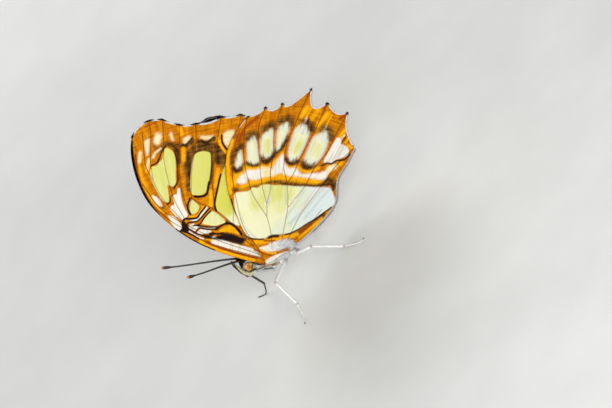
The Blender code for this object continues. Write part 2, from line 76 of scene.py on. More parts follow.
# %% [markdown]
# ## Colours and shader nodes
# Colours are picked as sRGB hex values, which a screen shows, and a shader wants
# them linear. One small function adds any node with its settings and its links,
# and another lays colours over each other, as a painter lays glazes. A pattern
# takes a point's place in metres, so its scale is one over its real size.

# %% Colour and node helpers
def colour(code):
    """An sRGB hex value as the linear colour that a shader takes."""
    parts = [int(code[i : i + 2], 16) / 255 for i in (1, 3, 5)]
    return [c / 12.92 if c <= 0.04045 else ((c + 0.055) / 1.055) ** 2.4 for c in parts] + [1]


def add(tree, kind, inputs, out=0, stops=(), **settings):
    """Adds a node, sets it up, links it, and gives back one of its outputs."""
    node = tree.nodes.new("ShaderNode" + kind)
    for name, value in settings.items():
        setattr(node, name, value)
    for socket, value in inputs.items():
        if isinstance(value, bpy.types.NodeSocket):
            tree.links.new(value, node.inputs[socket])
        else:
            node.inputs[socket].default_value = value
    for number, (position, code) in enumerate(stops):
        if number >= len(node.color_ramp.elements):
            node.color_ramp.elements.new(1.0)
        node.color_ramp.elements[number].position = position
        node.color_ramp.elements[number].color = colour(code)
    return node.outputs[out]


def layered(tree, ground, layers):
    """Lays each colour over those before it, as far as its amount says."""
    for amount, tone in layers:
        ground = add(tree, "Mix", {0: amount, 6: ground, 7: tone}, 2, data_type="RGBA")
    return ground


def new_material(name, roughness, **shader_inputs):
    """A material with one Principled shader; its even settings sit on the shader itself."""
    material = bpy.data.materials.new(name)
    material.use_nodes = True
    shader = material.node_tree.nodes["Principled BSDF"]
    shader.inputs["Roughness"].default_value = roughness
    for socket, value in shader_inputs.items():
        shader.inputs[socket.replace("_", " ")].default_value = value
    return material, material.node_tree, shader


print("mid grey as a shader takes it:", round(colour("#808080")[0], 3))

# %% [markdown]
# ## The studio
# The photo looks down on the butterfly from thirty degrees with the camera rolled
# by fifty. A long lens from far away keeps the wings' true proportions.

# %% Camera
VIEW_MIDDLE = (14.72, -1.756, 13.73)
VIEW_WIDTH = 139.09  # mm that the frame shows across
LENS = 1000  # mm
SENSOR = 36  # mm
NEAREST_SEEN = 0.05  # m
TOWARD_CAMERA = Vector((0, -0.8660, 0.5))
IMAGE_RIGHT = Vector((0.6428, -0.3830, -0.6634))
IMAGE_UP = Vector((0.7660, 0.3214, 0.5567))


def add_camera():
    data = bpy.data.cameras.new("camera")
    data.lens = LENS
    data.sensor_width = SENSOR
    data.clip_start = NEAREST_SEEN
    camera = bpy.data.objects.new("camera", data)
    bpy.context.scene.collection.objects.link(camera)
    distance = VIEW_WIDTH * LENS / SENSOR * MM
    turn = Matrix((IMAGE_RIGHT, IMAGE_UP, TOWARD_CAMERA)).transposed().to_4x4()
    spot = Vector(place(VIEW_MIDDLE)) + TOWARD_CAMERA * distance
    camera.matrix_world = Matrix.Translation(spot) @ turn
    bpy.context.scene.camera = camera


add_camera()
print("camera at", bpy.context.scene.camera.location)

# %% [markdown]
# The floor is plain pale paper, and three soft lights stand round it: the key and
# the fill in front, and one behind for the far side.

# %% Floor and lights
FLOOR_HALF = 3  # m
AIM = Vector((0, 0, 0.02))


def add_light(name, spot, size, power):
    """A square soft white light, given in metres, that faces the butterfly."""
    data = bpy.data.lights.new(name, "AREA")
    data.size = size
    data.energy = power
    light = bpy.data.objects.new(name, data)
    light.location = spot
    light.rotation_euler = (AIM - Vector(spot)).to_track_quat("-Z", "Y").to_euler()
    light.visible_camera = False
    bpy.context.scene.collection.objects.link(light)


def add_floor():
    """Matt paper: an even pale ground that takes soft shadows without a gleam."""
    mesh = bpy.data.meshes.new("floor")
    corners = [(-1, -1), (1, -1), (1, 1), (-1, 1)]
    mesh.from_pydata([(FLOOR_HALF * x, FLOOR_HALF * y, 0) for x, y in corners], [], [(0, 1, 2, 3)])
    floor = bpy.data.objects.new("floor", mesh)
    bpy.context.scene.collection.objects.link(floor)
    material, tree, shader = new_material("paper_floor_matt", 0.9)
    spot = add(tree, "TexCoord", {}, "Object")
    # the mottling repeats every 25 mm; paper's own fibres are too fine to show
    grain = add(tree, "TexNoise", {"Vector": spot, "Scale": 0.04 * PER_MM, "Detail": 4})
    tone = add(tree, "ValToRGB", {0: grain}, stops=[(0.3, "#E4E4E0"), (0.7, "#ECECE8")])
    tree.links.new(tone, shader.inputs["Base Color"])
    mesh.materials.append(material)


add_floor()
add_light("key", (0.06, -0.42, 0.26), 0.22, 1.24)
add_light("fill", (-0.24, -0.38, 0.10), 0.35, 0.9)
add_light("back", (0.05, 0.42, 0.30), 0.30, 1.2)
world = bpy.data.worlds.new("studio")
world.use_nodes = True
world.node_tree.nodes["Background"].inputs[0].default_value = colour("#DDE0E4")
world.node_tree.nodes["Background"].inputs[1].default_value = 0.42
bpy.context.scene.world = world
bpy.context.scene.view_settings.view_transform = "Standard"
print("lights:", len(bpy.data.lights))

# %% [markdown]
# ## Curves
# Outlines and veins are drawn as a few knots with smooth curves through them, in
# wing coordinates: the first number runs back and the second up from the hinge.

# %% Curve helpers
def bezier(start, handles, end, steps):
    """Points along a cubic curve, without its last one."""
    p0, p1, p2, p3 = (np.array(p, float) for p in (start, *handles, end))
    t = np.linspace(0, 1, steps, endpoint=False)[:, None]
    s = 1 - t
    return s**3 * p0 + 3 * s * s * t * p1 + 3 * s * t * t * p2 + t**3 * p3


def smooth_through(knots, step, closed=False):
    """Points about a step apart on a smooth curve through every knot."""
    knots = np.array(knots, float)
    if closed:
        ends = np.concatenate([knots[-1:], knots, knots[:2]])
    else:
        ends = np.concatenate([2 * knots[:1] - knots[1:2], knots, 2 * knots[-1:] - knots[-2:-1]])
    points = []
    for before, a, b, after in zip(ends, ends[1:], ends[2:], ends[3:]):
        steps = max(1, round(float(np.linalg.norm(b - a)) / step))
        points.append(bezier(a, [a + (b - before) / 6, b - (after - a) / 6], b, steps))
    return np.concatenate(points if closed else points + [knots[-1:]])


def respaced(points, step):
    """The same line with its points evenly spaced."""
    points = np.asarray(points, float)
    along = np.concatenate([[0], np.cumsum(np.linalg.norm(np.diff(points, axis=0), axis=1))])
    marks = np.linspace(0, along[-1], max(2, round(along[-1] / step) + 1))
    return np.stack([np.interp(marks, along, column) for column in points.T], axis=1)


print("points on a short test curve:", len(smooth_through([(0, 0), (1, 1), (2, 0)], 0.1)))

# %% [markdown]
# Two measures place every marking: how far a point lies from a line, and whether it
# lies inside an outline.

# %% Measuring against curves
def nearest(points, line):
    """How far each point lies from a line."""
    best = np.full(len(points), 1e9)
    for a, b in zip(line[:-1], line[1:]):
        along = b - a
        share = np.clip((points - a) @ along / max(along @ along, 1e-12), 0, 1)
        best = np.minimum(best, np.linalg.norm(points - a - share[:, None] * along, axis=1))
    return best


def inside(points, outline):
    """Whether each point lies within a closed outline."""
    crossings = np.zeros(len(points), int)
    for a, b in zip(outline, np.roll(outline, -1, axis=0)):
        if a[1] != b[1]:
            crossing = a[0] + (points[:, 1] - a[1]) / (b[1] - a[1]) * (b[0] - a[0])
            between = (a[1] > points[:, 1]) != (b[1] > points[:, 1])
            crossings += between & (crossing > points[:, 0])
    return crossings % 2 == 1


unit_square = np.array([(0.0, 0.0), (1.0, 0.0), (1.0, 1.0), (0.0, 1.0)])
print("middle of a square is inside:", inside(np.array([(0.5, 0.5)]), unit_square)[0])

# %% [markdown]
# ## The plan of each wing
# A butterfly's wing is a sheet held out by hollow veins that all start at its root.
# The edge is hollowed between the vein ends, and a malachite's hindwing ends in
# small teeth. The same values draw the solids, so the near wings lie over them.

# %% Wing outlines and veins
FORE_MARGIN = [
    ((0.9, 46.5), (3.5, 47.0)), ((6.2, 46.1), (7.2, 45.0)), ((8.4, 43.6), (8.9, 41.5)),
    ((9.9, 39.4), (10.9, 37.6)), ((12.5, 36.2), (14.6, 33.5)), ((17.4, 32.0), (18.7, 30.0)),
    ((20.7, 28.4), (21.4, 26.2)),
]
FORE_TORNUS = (22.9, 24.4)
HIND_MARGIN = [
    ((21.2, 26.5), (23.5, 25.0)), ((25.6, 24.6), (26.1, 22.5)), ((28.8, 21.6), (29.7, 19.6)),
    ((35.6, 18.0), (32.5, 14.6)), ((35.4, 12.4), (34.9, 8.9)), ((36.8, 6.7), (33.6, 4.2)),
]
HIND_LOBE = (31.5, -0.4)
HIND_INNER = [(28.2, -0.8), (23.7, -1.2), (19.3, -4.6), (15.1, -5.1), (9.9, -4.5), (4.0, -3.2)]
FORE_VEINS = {
    "subcosta": [(-1.1, 0.8), (-6.2, 13.5), (-7.6, 22.0), (-8.1, 27.0)],
    "radius": [(-0.9, 2.0), (-4.3, 11.7), (-5.4, 16.5), (-6.3, 21.6)],
    "radius_1": [(-5.4, 16.5), (-6.9, 24.0), (-7.2, 30.0), (-5.6, 37.0)],
    "radius_4": [(-6.3, 21.6), (-5.3, 30.1), (-3.6, 35.1), (-2.0, 39.3), (0, 41.7), (3.3, 45.5)],
    "radius_5": [(-3.6, 35.1), (-1.1, 38.4), (1.0, 40.6), (4.0, 43.3), FORE_MARGIN[1][0]],
    "cell_end": [(-6.3, 21.6), (-5.6, 22.6), (-4.2, 22.4), (-2.6, 23.7), (-1.0, 24.6)],
    "media_1": [(-5.6, 22.6), (-3.4, 28.6), (1.2, 36.0), (4.2, 39.1), FORE_MARGIN[2][0]],
    "media_2": [(-4.2, 22.4), (-0.6, 28.6), (2.1, 31.8), (5.9, 35.4), FORE_MARGIN[3][0]],
    "media_3": [(-1.0, 24.6), (0.5, 26.2), (3.9, 29.3), (9.5, 33.3), FORE_MARGIN[4][0]],
    "cubitus": [(0.6, 1.5), (-0.5, 6.4), (0.5, 11.9), (0.4, 18.1), (-0.6, 22.0), (-1.0, 24.6)],
    "cubitus_1": [(0.4, 18.1), (2.6, 20.7), (6.1, 24.5), (11.8, 28.4), FORE_MARGIN[5][0]],
    "cubitus_2": [(0.5, 11.9), (6.3, 17.5), (12.3, 22.7), FORE_MARGIN[6][0]],
    "anal": [(1.0, 2.0), (6.5, 8.0), (13.5, 15.2), FORE_TORNUS],
}
HIND_VEINS = {
    "subcosta": [(-0.6, 1.0), (1.4, 8.5), (4.2, 13.5), (8.5, 19.5), (13.0, 23.5), (18.8, 26.1)],
    "radius": [(2.0, 0.5), (4.4, 3.1), (6.7, 6.5), (7.7, 10.2), (9.2, 14.3), (14.2, 21.4),
               (21.2, 26.5)],
    "media_1": [(6.7, 6.5), (8.9, 8.6), (11.3, 12.3), (14.6, 16.2), (20.9, 22.5), (25.6, 24.6)],
    "media_2": [(8.9, 8.6), (12.5, 10.6), (15.1, 13.1), (18.8, 15.5), (23.4, 19.4), (28.8, 21.6)],
    "media_3": [(3.0, -1.0), (5.9, 0.6), (11.3, 3.9), (15.4, 7.7), (17.9, 11.1), (22.4, 14.3),
                (26.7, 15.7), (35.6, 18.0)],
    "cubitus_1": [(15.4, 7.7), (18.5, 8.1), (22.8, 9.4), (30.6, 11.0), (35.4, 12.4)],
    "cubitus_2": [(11.3, 3.9), (17.4, 3.9), (22.5, 4.9), (27.7, 4.9), (32.4, 5.9), (36.8, 6.7)],
    "anal_2": [(4.5, -1.5), (11.9, 0.2), (19.7, 0.7), (26.0, 1.0), HIND_LOBE],
    "anal_3": [(4.0, -2.2), (10.0, -3.2), (16.0, -3.3)],
}


def hollow(tip, valley, next_tip):
    """The edge between two vein ends, deepest at the valley."""
    tip, valley, next_tip = (np.array(p) for p in (tip, valley, next_tip))
    pull = 2 * valley - (tip + next_tip) / 2
    return bezier(tip, [(tip + 2 * pull) / 3, (next_tip + 2 * pull) / 3], next_tip, 24)


def outer_edge(notches, last):
    tips = [tip for tip, _ in notches] + [last]
    return np.concatenate([hollow(t, v, n) for (t, v), n in zip(notches, tips[1:])])


EDGE_STEP = 0.3
fore_costa = bezier((-1.9, -0.4), [(-9.5, 14.0), (-13.5, 32.5)], FORE_MARGIN[0][0], 90)
fore_margin = outer_edge(FORE_MARGIN, FORE_TORNUS)
fore_back = bezier(FORE_TORNUS, [(17.5, 18.0), (9.0, 5.5)], (2.2, -0.4), 80)
hind_costa = bezier((-1.5, -1.0), [(0.5, 10.0), (7.0, 27.5)], (18.8, 26.1), 80)
hind_margin = np.concatenate([hind_costa[-1:], outer_edge(HIND_MARGIN, HIND_LOBE)])
hind_back = smooth_through([HIND_LOBE, *HIND_INNER], 0.4)


def closed_outline(*parts):
    line = respaced(np.concatenate([*parts, parts[0][:1]]), EDGE_STEP)
    return line[:-1]


fore_outline = closed_outline(fore_costa, fore_margin, fore_back)
hind_outline = closed_outline(hind_costa, hind_margin, hind_back)
print("edge points:", len(fore_outline), len(hind_outline))

# %% [markdown]
# ## The markings
# Each marking is the outline of a patch or the middle line of a streak, read off
# the real pattern between the veins, except that on the hindwing the grey lines are
# painted shade in its folds and a few thin white ones painted highlights on their
# ridges. A row holds how soft its edge is, the width of a streak or 0 for a patch,
# and its knots, all in millimetres.

# %% Forewing markings
# the grey marks are painted shade in the hindwing's folds, not a colour of the scales
PALE, WHITE, CREAM, FOLD_SHADE = "pale", "white", "cream", "grey"
BLACK, BROWN, AMBER, RUSSET, ENDS = "black", "brown", "amber", "russet", "ends"
FORE_MARKS = {
    PALE: [
        (0.15, 0, [(-1.2, 37.8), (-2.8, 37.1), (-3.8, 35.3), (-4.7, 33.0), (-5.4, 30.9), (-5.5, 29.4),
                   (-4.8, 28.5), (-3.9, 29.6), (-2.6, 31.2), (-2.1, 31.7), (-1.9, 31.0), (-1.6, 30.3),
                   (-0.5, 30.5), (0.8, 31.8), (2.6, 33.5), (4.0, 35.1), (4.4, 36.8), (4.0, 38.2),
                   (2.9, 37.9), (1.7, 37.1), (0.6, 37.2), (-0.5, 37.1)]),
        (0.18, 0, [(-0.2, 25.3), (1.1, 27.1), (3.2, 28.9), (5.0, 30.3), (7.0, 31.3), (8.6, 30.6),
                   (9.5, 29.1), (9.4, 28.3), (7.6, 26.4), (5.0, 24.4), (2.8, 23.2), (2.0, 22.95),
                   (1.2, 23.2), (0.3, 24.2)]),
        (0.15, 0, [(-3.7, 22.5), (-3.3, 23.3), (-1.9, 24.3), (-1.2, 24.4), (-1.15, 23.0), (-1.3, 21.8),
                   (-2.5, 21.3), (-3.5, 21.7)]),
        (0.15, 0, [(-3.9, 18.4), (-3.4, 18.6), (-2.0, 18.7), (-0.1, 18.2), (-0.1, 14.0), (-1.6, 14.8),
                   (-2.4, 15.4), (-3.1, 16.7)]),
        (0.18, 0, [(0.7, 18.1), (1.6, 19.1), (4.5, 20.9), (7.3, 22.6), (9.4, 23.3), (9.0, 21.5),
                   (5.0, 16.5), (2.9, 13.5), (1.3, 10.6), (0.6, 12.5), (0.6, 15.0)]),
    ],
    WHITE: [
        (0.2, 0, [(-6.2, 33.1), (-5.8, 31.6), (-6.1, 30.2), (-6.8, 29.1), (-7.05, 30.2), (-6.8, 32.0)]),
        (0.2, 0, [(-7.35, 26.6), (-6.8, 25.2), (-6.85, 23.4), (-7.1, 22.4), (-7.9, 21.3), (-8.6, 22.2),
                  (-8.3, 24.2), (-7.8, 25.4)]),
        (0.15, 0, [(-5.9, 27.2), (-5.2, 27.4), (-4.6, 27.1), (-4.1, 27.6), (-3.2, 28.8), (-2.4, 28.4),
                   (-1.5, 29.0), (-0.9, 28.7), (-2.3, 26.9), (-3.7, 24.5), (-4.4, 22.6), (-5.3, 22.5),
                   (-6.1, 22.7), (-6.3, 24.0), (-6.3, 25.4)]),
        (0.12, 0.5, [(-4.9, 21.2), (-4.0, 20.05), (-3.2, 19.95), (-2.3, 20.05), (-0.4, 20.1)]),
        (0.15, 0, [(-6.5, 20.2), (-5.9, 20.6), (-5.0, 19.9), (-5.4, 19.4), (-4.9, 18.7), (-5.5, 18.4),
                   (-6.2, 18.5), (-6.4, 19.2)]),
        (0.15, 0, [(-6.3, 17.8), (-5.3, 17.8), (-4.6, 16.8), (-3.8, 15.3), (-4.6, 15.4), (-5.3, 16.2),
                   (-6.3, 16.9)]),
        (0.12, 0.22, [(-5.8, 18.2), (-4.9, 18.3), (-4.3, 17.1), (-3.6, 16.1), (-2.7, 15.1)]),
        (0.15, 0.3, [(-7.2, 20.0), (-7.0, 18.6), (-6.8, 16.9), (-6.3, 15.4)]),
        (0.3, 0, [(-5.9, 13.2), (-5.2, 13.2), (-4.4, 11.4), (-3.6, 9.2), (-2.2, 5.6), (-0.9, 3.2),
                  (0.4, 0.8), (-0.6, 0.6), (-2.0, 3.0), (-3.4, 6.2), (-4.6, 9.4)]),
    ],
    CREAM: [
        (0.6, 0, [(0.0, 40.9), (1.3, 42.8), (2.2, 43.6), (3.1, 43.0), (1.8, 41.6), (0.3, 40.6)]),
        (0.6, 0, [(3.1, 41.0), (3.6, 41.9), (5.2, 42.6), (5.7, 41.4), (4.2, 40.3), (3.4, 40.3)]),
        (0.5, 0, [(6.2, 38.2), (6.9, 39.8), (7.6, 39.8), (6.9, 38.6), (6.5, 37.9)]),
        (0.5, 0, [(7.3, 35.2), (8.2, 36.3), (9.3, 35.8), (9.6, 35.2), (8.8, 34.9)]),
        (0.5, 0, [(10.7, 32.6), (11.2, 33.1), (12.6, 31.3), (13.1, 30.7), (12.0, 30.8)]),
        (0.55, 0, [(13.2, 26.0), (13.4, 27.4), (14.6, 28.8), (15.8, 28.7), (16.9, 27.5), (16.6, 26.6),
                  (15.0, 26.1)]),
        (0.5, 0.7, [(-2.2, 41.2), (-1.4, 41.9), (-0.6, 42.5)]),
        (0.4, 0.5, [(0.5, 39.2), (1.6, 39.5), (3.1, 39.2)]),
        (0.4, 0.5, [(-2.3, 38.4), (-0.4, 39.7)]),
    ],
    FOLD_SHADE: [],
    ENDS: [],
    BLACK: [
        (0.15, 0.6, [(-0.2, 24.4), (0.3, 23.5), (1.5, 22.5), (2.4, 22.6), (3.4, 23.3), (4.4, 23.9)]),
        (0.15, 0.5, [(0.4, 17.6), (1.2, 18.9), (2.8, 20.1), (4.4, 21.1), (6.0, 22.1), (7.4, 22.9)]),
        (0.12, 0.5, [(-6.4, 22.5), (-5.6, 22.6), (-4.8, 21.5), (-3.7, 20.45), (-3.2, 20.3),
                      (-2.4, 20.5), (-0.5, 20.45)]),
        (0.12, 0.42, [(-6.5, 21.2), (-5.7, 21.2), (-4.8, 20.4), (-4.4, 19.9), (-3.5, 19.6),
                     (-1.8, 19.55), (-0.1, 19.4)]),
        (0.12, 0.38, [(-5.5, 19.7), (-4.6, 18.9), (-4.1, 18.7), (-2.0, 18.95), (-0.4, 18.7)]),
        (0.12, 0.38, [(-6.2, 18.1), (-5.0, 18.1), (-4.2, 16.6), (-3.0, 14.9)]),
        (0.12, 0.38, [(-4.9, 18.9), (-4.0, 17.4), (-3.5, 16.5), (-2.3, 14.9)]),
        (0.15, 0, [(-8.4, 21.6), (-7.5, 21.6), (-7.0, 22.3), (-6.2, 22.3), (-6.2, 21.3), (-6.7, 20.0),
                   (-7.1, 19.6), (-8.0, 20.6)]),
        (0.12, 0.42, [(-7.9, 20.7), (-7.5, 19.4), (-7.2, 18.0), (-7.0, 16.5)]),
        (0.12, 0.38, [(-6.7, 20.4), (-6.6, 19.0), (-6.3, 17.4), (-5.3, 15.2)]),
        (0.15, 0.5, [(-3.9, 22.2), (-3.5, 23.4), (-2.6, 24.4), (-1.2, 24.9)]),
        (0.25, 0.8, [(-5.6, 15.2), (-5.1, 14.5)]),
        (0.25, 0.7, [(-4.6, 14.9), (-3.9, 14.5)]),
        (0.3, 0.5, [(-5.0, 13.9), (-4.4, 13.0), (-3.4, 12.2)]),
        (0.15, 0.45, [(-4.0, 14.5), (-3.4, 13.5), (-2.5, 12.7)]),
        (0.15, 0.55, [(-2.9, 14.6), (-1.6, 14.25), (-0.3, 13.5), (0.4, 12.2), (0.4, 10.4), (0.0, 8.6)]),
        (0.4, 0, [(-4.5, 13.5), (-3.4, 13.0), (-2.2, 12.3), (-1.2, 10.5), (-0.6, 8.2), (-0.2, 7.0),
                  (-1.5, 7.1), (-2.5, 8.7), (-3.5, 10.9), (-4.5, 12.6)]),
        (0.2, 0.4, [(-1.2, 38.1), (0.3, 37.6), (2.6, 38.3), (4.3, 38.6)]),
        (0.3, 0.4, [(4.7, 36.0), (3.2, 33.6), (1.5, 31.8)]),
        (0.25, 0.45, [(1.5, 31.8), (0.0, 30.3), (-1.7, 29.9)]),
        (0.2, 0.45, [(-5.5, 28.6), (-4.9, 28.3), (-4.1, 29.0)]),
        (0.35, 0.6, [(7.0, 35.5), (7.5, 34.8), (9.5, 34.6)]),
        (0.35, 0.6, [(10.5, 32.4), (10.8, 31.0), (12.8, 30.4)]),
        (0.15, 0.45, [(12.6, 25.8), (13.2, 27.8), (14.4, 29.1)]),
    ],
    BROWN: [
        (0.6, 2.6, [(3.6, 30.2), (5.6, 31.7), (7.6, 32.3), (9.4, 31.4), (10.6, 29.4), (10.6, 27.4),
                    (9.8, 25.6)]),
        (0.5, 1.5, [(9.0, 27.6), (10.6, 28.6), (11.6, 27.8), (10.8, 25.2), (9.3, 24.0)]),
        (0.4, 1.2, [(0.2, 26.6), (1.6, 28.4), (3.6, 30.0)]),
        (0.4, 1.1, [(3.2, 23.4), (5.4, 24.4), (7.4, 25.9), (8.9, 27.2)]),
        (0.6, 1.3, [(3.4, 33.2), (4.8, 34.6), (5.4, 36.8), (4.8, 38.8), (3.0, 39.0)]),
        (0.5, 0.8, [(-5.9, 16.2), (-5.3, 14.9), (-4.4, 14.2)]),
        (0.4, 0.6, [(0.1, 7.2), (0.2, 12.0), (0.0, 13.8)]),
        (0.5, 1.2, [(-3.9, 12.4), (-2.8, 10.0), (-1.4, 7.2)]),
        (0.5, 0.7, [(-6.9, 28.6), (-7.3, 32.0), (-6.4, 35.2)]),
        (0.5, 0.8, [(6.2, 36.6), (7.0, 34.6), (9.2, 33.9)]),
        (0.5, 0.8, [(9.9, 33.0), (10.6, 30.4), (12.8, 29.9)]),
    ],
    AMBER: [
        (0.5, 1.0, [(4.6, 32.8), (6.4, 34.6)]),
        (0.25, 0.6, [(13.2, 29.4), (12.4, 27.4), (12.0, 25.6)]),
        (0.15, 0.35, [(-4.5, 22.0), (-3.6, 20.95), (-3.0, 20.7), (-0.7, 20.9)]),
        (0.2, 0, [(-2.7, 13.8), (-1.4, 13.4), (0.0, 12.1), (0.0, 10.0), (-0.3, 8.9), (-0.8, 10.0),
                  (-1.6, 12.0), (-2.4, 12.9)]),
        (0.4, 0.9, [(0.6, 19.6), (1.6, 20.6), (3.0, 22.0)]),
        (0.4, 0.9, [(4.6, 21.9), (6.4, 23.2), (7.8, 24.2)]),
        (0.4, 0.8, [(-0.6, 6.2), (0.4, 4.6), (1.6, 2.8)]),
        (0.6, 0.8, [(-2.4, 41.0), (-1.4, 41.9), (-0.6, 42.6)]),
        (0.6, 0.8, [(-2.7, 38.1), (-0.6, 39.6)]),
        (0.5, 0.9, [(-7.7, 28.0), (-7.4, 32.0), (-5.6, 36.4), (-3.0, 40.8)]),
        (0.5, 1.0, [(8.9, 37.4), (9.4, 38.8)]),
    ],
    RUSSET: [
        (0.3, 0.5, [(-8.0, 27.0), (-7.9, 31.0), (-6.6, 35.6), (-4.6, 39.4), (-1.6, 43.2)]),
    ],
}
FORE_COSTA_LINES = [
    # kind, soft edge, width, how far in from the front edge, from and to what height
    (RUSSET, 0.15, 0.7, 1.15, 2.0, 14.5), (AMBER, 0.15, 0.45, 1.85, 3.0, 15.0),
    (AMBER, 0.2, 0.8, 0.5, 2.0, 16.0), (WHITE, 0.2, 0.9, 2.55, 4.0, 14.0),
    (RUSSET, 0.2, 0.35, 1.3, 15.0, 19.0), (BLACK, 0.12, 0.3, 0.15, 11.0, 23.0),
]
print("forewing marks:", sum(map(len, FORE_MARKS.values())))

# %% [markdown]
# The hindwing carries one large pale field, a dark wavy line and a row of pale
# patches between the vein ends, each with a soft brown shadow round it.

